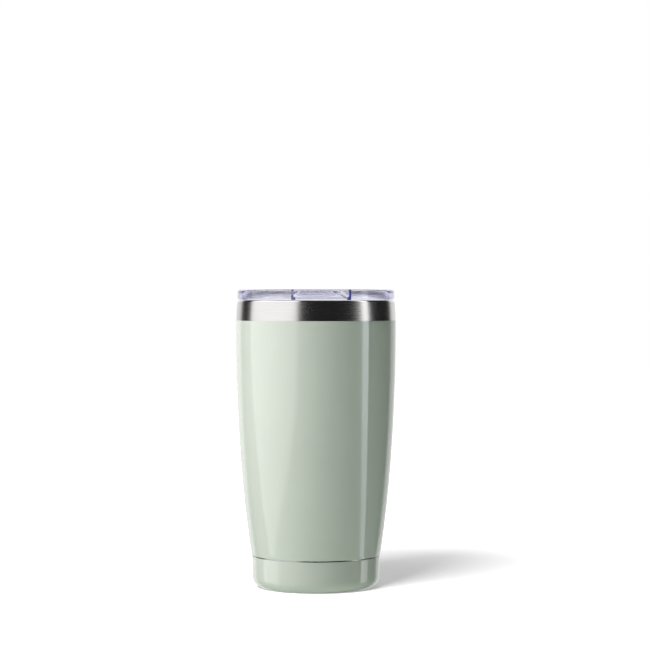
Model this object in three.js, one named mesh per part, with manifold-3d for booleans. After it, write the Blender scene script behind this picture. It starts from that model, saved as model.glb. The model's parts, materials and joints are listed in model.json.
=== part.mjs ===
// A double-walled steel tumbler with a clear slider lid, in millimetres, +Z up.
// The origin is where the tumbler's axis meets the surface it stands on, and the drinking side faces -Y.
import * as THREE from "three";
import { mergeVertices } from "three/addons/utils/BufferGeometryUtils.js";
import Module from "manifold-3d";

const wasm = await Module();
wasm.setup();

// ---- Driving dimensions ----
const FACETS = 36; // flats round every large turned piece
const FINE_FACETS = 16; // flats round a small turned piece
const WALL_STEPS = 7; // levels of a long wall
const BAND_STEPS = 2; // levels of the bare band
const BLEND_STEPS = 4; // levels of each stretch of the liner
const FOIL_STEPS = 5; // levels of the foil
const CROWN_STEPS = 6; // steps over the round lip
const CORNER_STEPS = 4; // steps round an inside or coated corner
const FOOT_STEPS = 5; // steps round the foot's steel corner
const EDGE_STEPS = 3; // steps round the rim's edges
const PLAN_STEPS = 6; // steps per quarter of a plan's curves
const ARCH_STEPS = 10; // steps over the thumb ridge
const SAME_POINT = 1e-3; // points nearer than this are one

// Outside of the vessel
const LIP_Z = 161.5; // top of the steel lip
const BODY_R = 45; // widest outside radius, over the coat
const WIDEST_DROP = 15; // how far the widest place is below the lip
const LIP_IN = 0.75; // how far the wall leans in from the widest place to the lip
const BODY_TAPER = 7.9; // how far the wall narrows down to the seam
const NECK_IN = 0.9; // further narrowing that shows only just above the seam
const BAND_H = 11.5; // bare steel band below the lip
const SEAM_Z = 18; // middle of the groove between body and foot
const SEAM_W = 0.6; // width of that groove
const FOOT_STEP = 0.25; // how far the foot is set in from the body at the seam
const FOOT_CORNER = 6.5; // outside rounding under the foot
const FOOT_DRAFT = 0.25; // how far the foot narrows down to that rounding

// Walls
const STEEL = 0.5; // sheet of the shell, liner and foot
const COAT = 0.2; // thickness of the coat
const COAT_PROUD = 0.1; // how far the coat stands out from the bare band
const VACUUM_GAP = 4.8; // between shell and liner
const LIP_T = 1.85; // thickness of the lip, both walls together
const LIP_CAP = 1; // height of the rounded lip above the shell's edge
const COLLAR = 3; // how far the foot's collar reaches up inside the shell
const MOUTH_DEPTH = 18; // straight stretch of the liner that takes the lid's plug
const LINER_BLEND = 28; // stretch over which the liner then draws in

// Bottom of the vessel
const LINER_FLOOR_Z = 11; // inside floor of the drink space
const LINER_CORNER = 9; // inside rounding round that floor
const RING_W = 2.2; // flat ring that the tumbler stands on
const RECESS_H = 1.6; // height of the recess inside that ring
const DISC_T = 0.5; // disc that covers the recess
const PORT_R = 1.2; // evacuation port in the middle of the foot
const POCKET_R = 5; // pocket round the port, which holds the solder
const POCKET_H = 1;
const SOLDER_FOOT_R = 3; // where the solder is narrowest, at the recess
const SOLDER_R = 4; // where it is widest, against the pocket
const SOLDER_RIM = 0.33; // height of that widest part
const GETTER_R = 4.5;
const GETTER_H = 2.4;
const GETTER_BEVEL = 0.48;
const GETTER_X = 14; // where the getter sits, from the axis
const STRAP_T = 0.3;
const STRAP_W = 5;
const STRAP_FOOT = 3.5;
const FOIL_T = 0.2; // copper foil round the liner
const FOIL_GAP = 0.3;
const FOIL_END = 8; // how far the foil stays from the mouth stretch and from the floor's weld

// Lid
const RIM_H = 5.7; // height of the lid's rim above the lip
const RIM_ROUND = 1; // rounding along the rim's top
const RIM_CHAMFER = 0.6; // bevel along the rim's bottom edge
const RIM_LAND = 0.9; // flat top of the rim, inside the rounding
const RIM_SLOPE = 1.9; // how far the rim's inside leans in down to the tray
const TRAY_DROP = 1.5; // how far the tray is below the lip
const TRAY_T = 1.8;
const SKIRT_DROP = 13.5; // how far the plug reaches down below the lip
const SKIRT_T = 2.3;
const GROOVE_RISE = 3; // from the plug's lower end to the gasket's groove
const GROOVE_H = 4;
const GROOVE_D = 1.5;
const FIN_H = 0.9; // each of the gasket's two fins
const FIN_SLANT = 0.3; // height of a fin's underside

// Slider and its channel
const RAIL_X = 15.6; // middle of each rail, from the channel's middle
const RAIL_T = 1.2;
const RAIL_TOP_DROP = 0.3; // how far the rails stay below the rim's top
const LIP_OVER = 1; // how far each rail reaches over the slider
const RAIL_LIP_T = 1;
const PLATE_T = 1.8; // the slider's plate
const PLATE_BACK = 7; // how far the plate reaches behind the axis
const PLATE_CORNER = 3; // rounding of its back corners
const GRIP_W = 23.2; // thumb ridge across the plate
const GRIP_H = 3.5;
const GRIP_T = 5;
const GRIP_Y = 1.5; // middle of the ridge
const TRAVEL = 18; // the slider's way from shut to open
const STOP_W = 12; // ridge that stops the open slider
const STOP_T = 1.2;
const SIP_W = 20; // drinking slot
const SIP_L = 8;
const SIP_ROUND = 3.5;
const SIP_EDGE = 5; // from the slot to the edge of the tray
const VENT_R = 1.3;
const VENT_EDGE = 6;

// Clearances
const FIT = 0.05; // between coaxial pieces that are joined for good
const LOOSE = 0.1; // between flat pieces that lie on each other
const SLACK = 0.2; // round a disc or a strap that is held at a few spots
const SEAT = 0.1; // between the lid's rim and the lip that it rests on
const PLUG_CLEAR = 0.65; // between plug and mouth, which the gasket fills
const FIN_CLEAR = 0.3; // between the gasket's fins and the mouth
const GASKET_CLEAR = 0.3; // between gasket and groove, along the radius
const GASKET_SIDE = 0.2; // between gasket and groove, up and down
const SLIDE_CLEAR = 0.3; // round the slider
const EMBED = 0.4; // how deep joined shapes of one moulding run into each other

// ---- Places worked out from them ----
const WIDEST_Z = LIP_Z - WIDEST_DROP;
const LIP_R = BODY_R - LIP_IN;
const MOUTH_R = LIP_R - LIP_T;
const BAND_Z = LIP_Z - BAND_H;
const SKIN = COAT + FIT; // from the outside to the steel under the coat
const FOOT_R = BODY_R - BODY_TAPER - NECK_IN - FOOT_STEP;
const SHELL_END_Z = SEAM_Z + SEAM_W / 2;
const FOOT_END_Z = SEAM_Z - SEAM_W / 2;
const CORNER_R = FOOT_R - FOOT_DRAFT - FOOT_CORNER; // centre of the rounding under the foot
const CORNER_STEEL = FOOT_CORNER - SKIN;
const CORNER_Z = CORNER_STEEL; // puts the steel ring on the surface
const RECESS_R = CORNER_R - RING_W;
const PLATE_Z = RECESS_H + STEEL; // upper face of the foot's plate
const LINER_WELD_Z = LINER_FLOOR_Z + LINER_CORNER;

const RIM_Z = LIP_Z + SEAT; // underside of the rim
const RIM_TOP = RIM_Z + RIM_H;
const RIM_INNER_TOP_R = LIP_R - RIM_ROUND - RIM_LAND - RIM_ROUND;
const TRAY_Z = LIP_Z - TRAY_DROP;
const TRAY_R = RIM_INNER_TOP_R - RIM_SLOPE;
const SKIRT_R = MOUTH_R - PLUG_CLEAR;
const SKIRT_Z = LIP_Z - SKIRT_DROP;
const GROOVE_Z = SKIRT_Z + GROOVE_RISE;
const CHANNEL_HALF = RAIL_X - RAIL_T / 2;
const PLATE_HALF = CHANNEL_HALF - SLIDE_CLEAR;
const SLIDER_Z = TRAY_Z + SLIDE_CLEAR / 2;
const RAIL_LIP_Z = SLIDER_Z + PLATE_T + SLIDE_CLEAR;
const PLATE_FRONT_R = TRAY_R - 2 * SLIDE_CLEAR;

// ---- Outlines ----
const at = (r, z) => new THREE.Vector2(r, z);
const mix = THREE.MathUtils.lerp;
const smooth = (t) => THREE.MathUtils.smoothstep(t, 0, 1);

/** Evenly spaced heights from one height to another, both included. */
function heights(from, to, steps) {
  return Array.from({ length: steps + 1 }, (_, i) => mix(from, to, i / steps));
}

/** Points of an arc round (r, z), with its angles in degrees from the radius direction. */
function arc(r, z, radius, from, to, steps) {
  return heights(from, to, steps).map((degrees) => {
    const angle = THREE.MathUtils.degToRad(degrees);
    return at(r + radius * Math.cos(angle), z + radius * Math.sin(angle));
  });
}

/** Outside radius of the body at a height, over the coat. */
function bodyRadius(z) {
  if (z >= WIDEST_Z) return BODY_R - LIP_IN * ((z - WIDEST_Z) / WIDEST_DROP) ** 2;
  const down = (WIDEST_Z - z) / (WIDEST_Z - SEAM_Z);
  return BODY_R - BODY_TAPER * down ** 2 - NECK_IN * down ** 6;
}

/** Inside radius of the liner at a height. */
function linerRadius(z) {
  const drawn = bodyRadius(z) - SKIN - STEEL - VACUUM_GAP - STEEL;
  return mix(MOUTH_R, drawn, smooth((LIP_Z - MOUTH_DEPTH - z) / LINER_BLEND));
}

/** Radius of the foot's coated side at a height. */
function footRadius(z) {
  return mix(FOOT_R - FOOT_DRAFT, FOOT_R, (z - CORNER_Z) / (FOOT_END_Z - CORNER_Z));
}

/** Radius of the rim's sloping inside at a height. */
function rimInside(z) {
  return mix(TRAY_R, RIM_INNER_TOP_R, (z - TRAY_Z) / (RIM_TOP - RIM_ROUND - TRAY_Z));
}

// ---- Making solids ----
/** Turns a closed outline round +Z. An outline that touches the axis starts and ends on it. */
function turned(outline, facets = FACETS) {
  const onAxis = outline[0].x === 0 && outline.at(-1).x === 0;
  const loop = onAxis ? outline : [...outline, outline[0]];
  const area = THREE.ShapeUtils.area(onAxis ? loop : loop.slice(0, -1));
  const outward = area > 0 ? loop : [...loop].reverse();
  return new THREE.LatheGeometry(outward, facets).rotateX(Math.PI / 2);
}

/** A sheet that follows an outside line, with its thickness towards the axis. */
function sheetRing(levels, outside, thickness) {
  const outer = levels.map((z) => at(outside(z), z));
  const inner = levels.map((z) => at(outside(z) - thickness, z)).reverse();
  return turned([...outer, ...inner]);
}

/** A plan outline raised from one height to another. */
function raised(shape, from, to) {
  const options = { depth: to - from, bevelEnabled: false, curveSegments: PLAN_STEPS };
  return new THREE.ExtrudeGeometry(shape, options).translate(0, 0, from);
}

/** A box from its low corner to its high corner. */
function block(low, high) {
  const size = high.map((value, i) => value - low[i]);
  const middle = high.map((value, i) => (value + low[i]) / 2);
  return new THREE.BoxGeometry(...size).translate(...middle);
}

/** A rectangle with round corners, in plan. */
function roundedRectangle(x, y, width, length, radius) {
  const [left, right] = [x - width / 2, x + width / 2];
  const [front, back] = [y - length / 2, y + length / 2];
  const shape = new THREE.Shape();
  shape.absarc(right - radius, front + radius, radius, -Math.PI / 2, 0);
  shape.absarc(right - radius, back - radius, radius, 0, Math.PI / 2);
  shape.absarc(left + radius, back - radius, radius, Math.PI / 2, Math.PI);
  shape.absarc(left + radius, front + radius, radius, Math.PI, 1.5 * Math.PI);
  return shape;
}

/** The geometry as a solid that can be joined and cut. */
function solid(geometry) {
  const bare = geometry.index ? geometry.toNonIndexed() : geometry.clone();
  bare.deleteAttribute("normal");
  bare.deleteAttribute("uv");
  const merged = mergeVertices(bare, SAME_POINT);
  const corners = merged.index.array;
  const triVerts = [];
  for (let i = 0; i < corners.length; i += 3) {
    const [a, b, c] = corners.slice(i, i + 3);
    if (a !== b && b !== c && a !== c) triVerts.push(a, b, c);
  }
  return new wasm.Manifold(
    new wasm.Mesh({
      numProp: 3,
      vertProperties: merged.attributes.position.array,
      triVerts: new Uint32Array(triVerts),
    }),
  );
}

/** A joined or cut solid as geometry again. */
function geometryOf(made) {
  const mesh = made.getMesh();
  const geometry = new THREE.BufferGeometry();
  geometry.setAttribute("position", new THREE.BufferAttribute(mesh.vertProperties, 3));
  geometry.setIndex(new THREE.BufferAttribute(mesh.triVerts, 1));
  return geometry;
}

// ---- Vessel ----
/** Pressed steel tube from the seam to the weld along the lip, set back under the coat. */
function outerShell() {
  const covered = [...heights(SHELL_END_Z, WIDEST_Z, WALL_STEPS), BAND_Z + FIT];
  const bare = heights(BAND_Z + FIT, LIP_Z - LIP_CAP - FIT, BAND_STEPS);
  const outer = [
    ...covered.map((z) => at(bodyRadius(z) - SKIN, z)),
    ...bare.map((z) => at(bodyRadius(z) - COAT_PROUD, z)),
  ];
  const levels = [...covered.slice(0, -1), ...bare];
  const inner = levels.map((z) => at(bodyRadius(z) - SKIN - STEEL, z)).reverse();
  return turned([...outer, ...inner]);
}

/** Gloss coat over the body, from the seam to the bare band. */
function shellCoat() {
  return sheetRing([...heights(SHELL_END_Z, WIDEST_Z, WALL_STEPS), BAND_Z], bodyRadius, COAT);
}

/** Steel liner, from the round lip that turns out over the shell's edge to the welded floor. */
function innerLiner() {
  const drawn = heights(LIP_Z - MOUTH_DEPTH, LIP_Z - MOUTH_DEPTH - LINER_BLEND, BLEND_STEPS);
  const wall = heights(LIP_Z - MOUTH_DEPTH - LINER_BLEND, LINER_WELD_Z + FIT, BLEND_STEPS);
  const levels = [...drawn, ...wall.slice(1)];
  const outside = levels.map((z) => at(linerRadius(z) + STEEL, z));
  const inside = levels.map((z) => at(linerRadius(z), z)).reverse();
  const half = (LIP_R - COAT_PROUD - MOUTH_R) / 2;
  const crown = arc(0, 0, 1, 180, 0, CROWN_STEPS).map((p) =>
    at(MOUTH_R + half * (1 + p.x), LIP_Z - LIP_CAP + LIP_CAP * p.y),
  );
  return turned([...inside, ...crown, at(MOUTH_R + STEEL, LIP_Z - LIP_CAP), ...outside]);
}

/** Dished floor of the liner. */
function linerBase() {
  const side = linerRadius(LINER_WELD_Z);
  const middle = side - LINER_CORNER;
  const inside = arc(middle, LINER_WELD_Z, LINER_CORNER, 0, -90, CORNER_STEPS);
  const outside = arc(middle, LINER_WELD_Z, LINER_CORNER + STEEL, -90, 0, CORNER_STEPS);
  const floor = LINER_FLOOR_Z;
  return turned([at(0, floor - STEEL), ...outside, ...inside, at(0, floor)]);
}

/** Copper foil wrapped round the liner, which reflects heat back. */
function copperWrap() {
  const levels = heights(LINER_WELD_Z + FOIL_END, LIP_Z - MOUTH_DEPTH - FOIL_END, FOIL_STEPS);
  return sheetRing(levels, (z) => linerRadius(z) + STEEL + FOIL_GAP + FOIL_T, FOIL_T);
}

/** Steel foot: collar inside the shell, side, rounding, standing ring, and plate with the port. */
function baseCup() {
  const collar = bodyRadius(SHELL_END_Z) - SKIN - STEEL - LOOSE;
  const outer = [
    at(collar - STEEL, SHELL_END_Z + COLLAR),
    at(collar, SHELL_END_Z + COLLAR),
    at(collar, FOOT_END_Z),
    at(footRadius(FOOT_END_Z) - SKIN, FOOT_END_Z),
    ...arc(CORNER_R, CORNER_Z, CORNER_STEEL, 0, -90, FOOT_STEPS),
    at(RECESS_R, 0),
    at(RECESS_R, RECESS_H),
    at(POCKET_R, RECESS_H),
    at(POCKET_R, RECESS_H + POCKET_H),
    at(PORT_R, RECESS_H + POCKET_H),
  ];
  const inner = [
    at(PORT_R, PLATE_Z + POCKET_H),
    at(POCKET_R + STEEL, PLATE_Z + POCKET_H),
    at(POCKET_R + STEEL, PLATE_Z),
    at(RECESS_R + STEEL, PLATE_Z),
    at(RECESS_R + STEEL, STEEL),
    ...arc(CORNER_R, CORNER_Z, CORNER_STEEL - STEEL, -90, 0, CORNER_STEPS),
    at(collar - STEEL, FOOT_END_Z - STEEL),
  ];
  return turned([...outer, ...inner]);
}

/** Gloss coat over the foot, which stops short of the standing ring. */
function baseCoat() {
  const inset = CORNER_STEEL + FIT;
  const end = -THREE.MathUtils.radToDeg(Math.asin((CORNER_Z - COAT) / FOOT_CORNER));
  const outside = arc(CORNER_R, CORNER_Z, FOOT_CORNER, 0, end, CORNER_STEPS);
  const inside = arc(CORNER_R, CORNER_Z, inset, end, 0, CORNER_STEPS);
  const top = at(footRadius(FOOT_END_Z), FOOT_END_Z);
  return turned([top, ...outside, ...inside, at(top.x - COAT, top.y)]);
}

/** Bare steel disc that covers the port. */
function baseDisc() {
  const radius = RECESS_R - SLACK;
  const top = RECESS_H - LOOSE;
  const bevel = DISC_T / 2;
  return turned([
    at(0, top - DISC_T),
    at(radius - bevel, top - DISC_T),
    at(radius, top - bevel),
    at(radius, top),
    at(0, top),
  ]);
}

/** Solder that seals the port once the air is out. */
function portPlug() {
  const cap = RECESS_H + POCKET_H - FIT;
  const outline = [
    at(0, RECESS_H + LOOSE),
    at(SOLDER_FOOT_R, RECESS_H + LOOSE),
    at(SOLDER_R, cap - SOLDER_RIM),
    at(SOLDER_R, cap),
    at(PORT_R - FIT, cap),
    at(PORT_R - FIT, cap + STEEL),
    at(0, cap + 2 * STEEL),
  ];
  return turned(outline, FINE_FACETS);
}

/** Getter that takes up stray gas, a small metal-cased pill. */
function getterCapsule() {
  const low = PLATE_Z + FIT;
  const high = low + GETTER_H;
  const outline = [
    at(0, low),
    at(GETTER_R - GETTER_BEVEL, low),
    at(GETTER_R, low + GETTER_BEVEL),
    at(GETTER_R, high - GETTER_BEVEL),
    at(GETTER_R - GETTER_BEVEL, high),
    at(0, high),
  ];
  return turned(outline, FINE_FACETS).translate(GETTER_X, 0, 0);
}

/** Strap that holds the getter down, with a welded foot at each end. */
function getterStrap() {
  const base = PLATE_Z + FIT;
  const inside = GETTER_R + SLACK;
  const outside = inside + STRAP_T;
  const crown = base + GETTER_H + LOOSE;
  const end = outside + STRAP_FOOT;
  const outline = [
    at(-end, base),
    at(-inside, base),
    at(-inside, crown),
    at(inside, crown),
    at(inside, base),
    at(end, base),
    at(end, base + STRAP_T),
    at(outside, base + STRAP_T),
    at(outside, crown + STRAP_T),
    at(-outside, crown + STRAP_T),
    at(-outside, base + STRAP_T),
    at(-end, base + STRAP_T),
  ];
  const options = { depth: STRAP_W, bevelEnabled: false };
  return new THREE.ExtrudeGeometry(new THREE.Shape(outline), options)
    .translate(0, 0, -STRAP_W / 2)
    .rotateX(Math.PI / 2)
    .rotateZ(Math.PI / 2)
    .translate(GETTER_X, 0, 0);
}

// ---- Lid ----
/** The lid's turned moulding: rim, tray and plug, before the channel is added. */
function lidRound() {
  const rimArc = LIP_R - RIM_ROUND;
  const landArc = RIM_INNER_TOP_R + RIM_ROUND;
  return turned([
    at(0, TRAY_Z - TRAY_T),
    at(SKIRT_R - SKIRT_T, TRAY_Z - TRAY_T),
    at(SKIRT_R - SKIRT_T, SKIRT_Z),
    at(SKIRT_R - RIM_CHAMFER, SKIRT_Z),
    at(SKIRT_R, SKIRT_Z + RIM_CHAMFER),
    at(SKIRT_R, GROOVE_Z),
    at(SKIRT_R - GROOVE_D, GROOVE_Z),
    at(SKIRT_R - GROOVE_D, GROOVE_Z + GROOVE_H),
    at(SKIRT_R, GROOVE_Z + GROOVE_H),
    at(SKIRT_R, RIM_Z),
    at(LIP_R - RIM_CHAMFER, RIM_Z),
    at(LIP_R, RIM_Z + RIM_CHAMFER),
    ...arc(rimArc, RIM_TOP - RIM_ROUND, RIM_ROUND, 0, 90, EDGE_STEPS),
    ...arc(landArc, RIM_TOP - RIM_ROUND, RIM_ROUND, 90, 180, EDGE_STEPS),
    at(TRAY_R, TRAY_Z),
    at(0, TRAY_Z),
  ]);
}

/** One rail of the channel, with the lip that holds the slider down; side is 1 or -1. */
function rail(side) {
  const top = RIM_TOP - RAIL_TOP_DROP;
  const foot = TRAY_Z - EMBED;
  const outline = new THREE.Shape(
    [
      at(CHANNEL_HALF + RAIL_T, foot),
      at(CHANNEL_HALF + RAIL_T, top),
      at(CHANNEL_HALF, top),
      at(CHANNEL_HALF, RAIL_LIP_Z + RAIL_LIP_T),
      at(CHANNEL_HALF - LIP_OVER, RAIL_LIP_Z + RAIL_LIP_T),
      at(CHANNEL_HALF - LIP_OVER, RAIL_LIP_Z),
      at(CHANNEL_HALF, RAIL_LIP_Z),
      at(CHANNEL_HALF, foot),
    ].map((p) => at(side * p.x, p.y)),
  );
  const options = { depth: 2 * LIP_R, bevelEnabled: false };
  return new THREE.ExtrudeGeometry(outline, options).translate(0, 0, -LIP_R).rotateX(Math.PI / 2);
}

/** Clear lid: the turned moulding with rails and stop joined on, and slot and vent cut out. */
function lidBody() {
  const reach = turned([
    at(0, TRAY_Z - EMBED),
    at(rimInside(TRAY_Z - EMBED) + EMBED, TRAY_Z - EMBED),
    at(rimInside(RIM_TOP - RIM_ROUND) + EMBED, RIM_TOP - RIM_ROUND),
    at(rimInside(RIM_TOP - RIM_ROUND) + EMBED, RIM_TOP),
    at(0, RIM_TOP),
  ]);
  const rails = solid(rail(1)).add(solid(rail(-1))).intersect(solid(reach));
  const stopY = PLATE_BACK + TRAVEL + SLIDE_CLEAR;
  const stop = block(
    [-STOP_W / 2, stopY, TRAY_Z - EMBED],
    [STOP_W / 2, stopY + STOP_T, SLIDER_Z + PLATE_T / 2],
  );
  const sipY = -(TRAY_R - SIP_EDGE - SIP_L / 2);
  const slotShape = roundedRectangle(0, sipY, SIP_W, SIP_L, SIP_ROUND);
  const slot = raised(slotShape, TRAY_Z - 2 * TRAY_T, TRAY_Z + TRAY_T);
  const vent = new THREE.CylinderGeometry(VENT_R, VENT_R, 3 * TRAY_T, FINE_FACETS)
    .rotateX(Math.PI / 2)
    .translate(0, TRAY_R - VENT_EDGE, TRAY_Z);
  const made = solid(lidRound()).add(rails).add(solid(stop));
  return geometryOf(made.subtract(solid(slot)).subtract(solid(vent)));
}

/** Silicone ring in the plug's groove, with two fins that seal against the mouth. */
function lidGasket() {
  const inner = SKIRT_R - GROOVE_D + GASKET_CLEAR;
  const body = SKIRT_R - GASKET_CLEAR / 2;
  const fin = MOUTH_R - FIN_CLEAR;
  const low = GROOVE_Z + GASKET_SIDE;
  const high = GROOVE_Z + GROOVE_H - GASKET_SIDE;
  return turned([
    at(inner, low),
    at(body, low),
    at(fin, low + FIN_SLANT),
    at(body, low + FIN_H),
    at(body, high - FIN_H),
    at(fin, high - FIN_H + FIN_SLANT),
    at(body, high),
    at(inner, high),
  ]);
}

/** Clear slider: a plate with a curved front, and the arched ridge that the thumb pushes. */
function slider() {
  const swing = Math.asin(PLATE_HALF / PLATE_FRONT_R);
  const plan = new THREE.Shape();
  plan.absarc(0, 0, PLATE_FRONT_R, -Math.PI / 2 - swing, -Math.PI / 2 + swing);
  const [side, back] = [PLATE_HALF - PLATE_CORNER, PLATE_BACK - PLATE_CORNER];
  plan.absarc(side, back, PLATE_CORNER, 0, Math.PI / 2);
  plan.absarc(-side, back, PLATE_CORNER, Math.PI / 2, Math.PI);
  const plate = raised(plan, SLIDER_Z, SLIDER_Z + PLATE_T);

  const bend = (GRIP_W ** 2 / 4 + GRIP_H ** 2) / (2 * GRIP_H);
  const half = Math.asin(GRIP_W / 2 / bend);
  const ridge = new THREE.Shape();
  ridge.absarc(0, GRIP_H - bend, bend, Math.PI / 2 - half, Math.PI / 2 + half);
  ridge.lineTo(-GRIP_W / 2, -EMBED);
  ridge.lineTo(GRIP_W / 2, -EMBED);
  const options = { depth: GRIP_T, bevelEnabled: false, curveSegments: ARCH_STEPS };
  const grip = new THREE.ExtrudeGeometry(ridge, options)
    .rotateX(Math.PI / 2)
    .translate(0, GRIP_Y + GRIP_T / 2, SLIDER_Z + PLATE_T);
  return geometryOf(solid(plate).add(solid(grip)));
}

// ---- Materials ----
const finish = (color, roughness, metalness) =>
  new THREE.MeshStandardMaterial({ color, roughness, metalness });
const clear = (color) =>
  new THREE.MeshStandardMaterial({ color, roughness: 0.05, transparent: true, opacity: 0.4 });

const bareSteel = finish(0xc6c4c1, 0.3, 1);
const linerSteel = finish(0xbdbcba, 0.38, 1);
const sageCoat = finish(0xb7c5b3, 0.2, 0);
const copper = finish(0xb87345, 0.35, 1);
const getterCase = finish(0x9a9a98, 0.45, 1);
const solder = finish(0x6f7d86, 0.15, 0);
const clearPlastic = clear(0xccccdd);
const silicone = finish(0xe4e6e8, 0.5, 0);

// ---- Assembly ----
/** A group of named meshes, from [name, geometry, material] rows. */
function groupOf(rows) {
  const group = new THREE.Group();
  for (const [name, geometry, material] of rows) {
    const mesh = new THREE.Mesh(geometry, material);
    mesh.name = name;
    group.add(mesh);
  }
  return group;
}

const vessel = groupOf([
  ["outer_shell", outerShell(), bareSteel],
  ["shell_coat", shellCoat(), sageCoat],
  ["inner_liner", innerLiner(), linerSteel],
  ["liner_base", linerBase(), linerSteel],
  ["copper_wrap", copperWrap(), copper],
  ["base_cup", baseCup(), bareSteel],
  ["base_coat", baseCoat(), sageCoat],
  ["base_disc", baseDisc(), bareSteel],
  ["port_plug", portPlug(), solder],
  ["getter_capsule", getterCapsule(), getterCase],
  ["getter_strap", getterStrap(), getterCase],
]);

const lid = groupOf([
  ["lid_body", lidBody(), clearPlastic],
  ["lid_gasket", lidGasket(), silicone],
  ["slider", slider(), clearPlastic],
]);

const tumbler = new THREE.Group();
tumbler.add(vessel, lid);
export default tumbler;
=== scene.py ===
"""A double-walled steel tumbler with a clear slider lid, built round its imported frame, in metres."""
import json
import logging
import math
from dataclasses import dataclass, field
from enum import Enum

import bmesh
import bpy
from mathutils import Matrix, Vector


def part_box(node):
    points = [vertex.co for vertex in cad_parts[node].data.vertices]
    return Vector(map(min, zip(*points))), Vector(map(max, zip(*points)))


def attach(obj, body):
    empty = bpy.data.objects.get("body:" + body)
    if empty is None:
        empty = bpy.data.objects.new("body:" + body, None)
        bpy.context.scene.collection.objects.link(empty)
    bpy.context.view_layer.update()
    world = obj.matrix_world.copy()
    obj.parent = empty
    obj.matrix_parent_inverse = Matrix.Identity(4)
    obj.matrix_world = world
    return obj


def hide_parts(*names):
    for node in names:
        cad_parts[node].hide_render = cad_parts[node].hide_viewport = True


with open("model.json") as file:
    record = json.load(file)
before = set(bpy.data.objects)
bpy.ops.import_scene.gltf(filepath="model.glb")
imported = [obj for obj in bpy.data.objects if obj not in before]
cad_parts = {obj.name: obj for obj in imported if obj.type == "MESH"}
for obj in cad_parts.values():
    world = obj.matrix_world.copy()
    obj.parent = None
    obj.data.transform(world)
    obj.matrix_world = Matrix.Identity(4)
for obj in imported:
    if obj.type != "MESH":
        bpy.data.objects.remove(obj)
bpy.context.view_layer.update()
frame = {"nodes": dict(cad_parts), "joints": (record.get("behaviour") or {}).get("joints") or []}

MM = 0.001
FINE = 192  # segments round a large turned piece
SMALL = 64  # segments round a small turned piece
SHARP_ANGLE = math.radians(35)
ON_AXIS = 1e-7

NOISE_SPAN = (0.3, 0.7)  # where most of a noise's values lie

Point = tuple[float, float]
Corner = tuple[float, float, float]
Colour = tuple[float, float, float, float]
Socket = bpy.types.NodeSocket
Value = float | Socket
log = logging.getLogger("tumbler")


class Body(Enum):
    """The bodies that pieces ride on."""

    VESSEL = "vessel"
    LID = "lid"
    SLIDER = "slider"


class Slot(Enum):
    """The record's material slots."""

    STEEL = "bare_steel"
    COAT = "sage_coat"
    FOIL = "copper_foil"
    SOLDER = "solder_glass"
    GETTER = "getter_metal"
    CLEAR = "clear_plastic"
    SILICONE = "silicone"


class Cut(Enum):
    """Ways of combining two solids."""

    JOIN = "UNION"
    REMOVE = "DIFFERENCE"
    KEEP_COMMON = "INTERSECT"


# ---- Outlines ----
def spread(low: float, high: float, steps: int) -> list[float]:
    """Evenly spaced values.

    Args:
        low: first value.
        high: last value.
        steps: number of steps between them.

    Returns:
        The steps + 1 values, both ends included.
    """
    return [low + (high - low) * i / steps for i in range(steps + 1)]


def arc(centre: Point, radius: float, start: float, end: float, steps: int = 8) -> list[Point]:
    """Points along an arc in the (radius, height) plane.

    Args:
        centre: centre of the arc.
        radius: its radius.
        start: first angle in degrees, from the radius direction.
        end: last angle in degrees.
        steps: number of steps.

    Returns:
        The points, both ends included.
    """
    turns = [math.radians(a) for a in spread(start, end, steps)]
    return [(centre[0] + radius * math.cos(t), centre[1] + radius * math.sin(t)) for t in turns]


def rounded(corners: list[Corner], steps: int = 5, closed: bool = True) -> list[Point]:
    """A polygon with its corners rounded.

    Args:
        corners: rows of (x, y, rounding radius).
        steps: steps along each rounding.
        closed: whether the last corner joins the first; the ends of an open line stay as they are.

    Returns:
        The outline's points.
    """
    points: list[Point] = []
    count = len(corners)
    for i, (x, y, radius) in enumerate(corners):
        if radius == 0 or (not closed and i in (0, count - 1)):
            points.append((x, y))
            continue
        here = Vector((x, y))
        back = Vector(corners[i - 1][:2]) - here
        ahead = Vector(corners[(i + 1) % count][:2]) - here
        half = back.angle(ahead) / 2
        reach = min(radius / math.tan(half), 0.49 * min(back.length, ahead.length))
        middle = here + (back.normalized() + ahead.normalized()).normalized() * reach / math.cos(half)
        first = here + back.normalized() * reach - middle
        last = here + ahead.normalized() * reach - middle
        sweep = last.angle_signed(first)
        for k in range(steps + 1):
            spoke = Matrix.Rotation(sweep * k / steps, 2) @ first
            points.append((middle.x + spoke.x, middle.y + spoke.y))
    return points


def smooth_step(t: float) -> float:
    """Eases from 0 to 1 as t goes from 0 to 1."""
    t = min(1.0, max(0.0, t))
    return t * t * (3 - 2 * t)


# ---- Making meshes ----
def finish_mesh(name: str, bm: bmesh.types.BMesh) -> bpy.types.Object:
    """Turns a bmesh into an object with outward faces and smooth shading up to sharp edges.

    Args:
        name: name of the piece.
        bm: the mesh, which is freed.

    Returns:
        The new object, linked to the scene.
    """
    bmesh.ops.remove_doubles(bm, verts=bm.verts, dist=ON_AXIS)
    bmesh.ops.recalc_face_normals(bm, faces=bm.faces)
    mesh = bpy.data.meshes.new(name)
    bm.to_mesh(mesh)
    bm.free()
    smooth(mesh)
    made = bpy.data.objects.new(name, mesh)
    bpy.context.scene.collection.objects.link(made)
    return made


def smooth(mesh: bpy.types.Mesh) -> None:
    """Shades a mesh smooth, except across its sharp edges."""
    mesh.polygons.foreach_set("use_smooth", [True] * len(mesh.polygons))
    mesh.set_sharp_from_angle(angle=SHARP_ANGLE)


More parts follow.
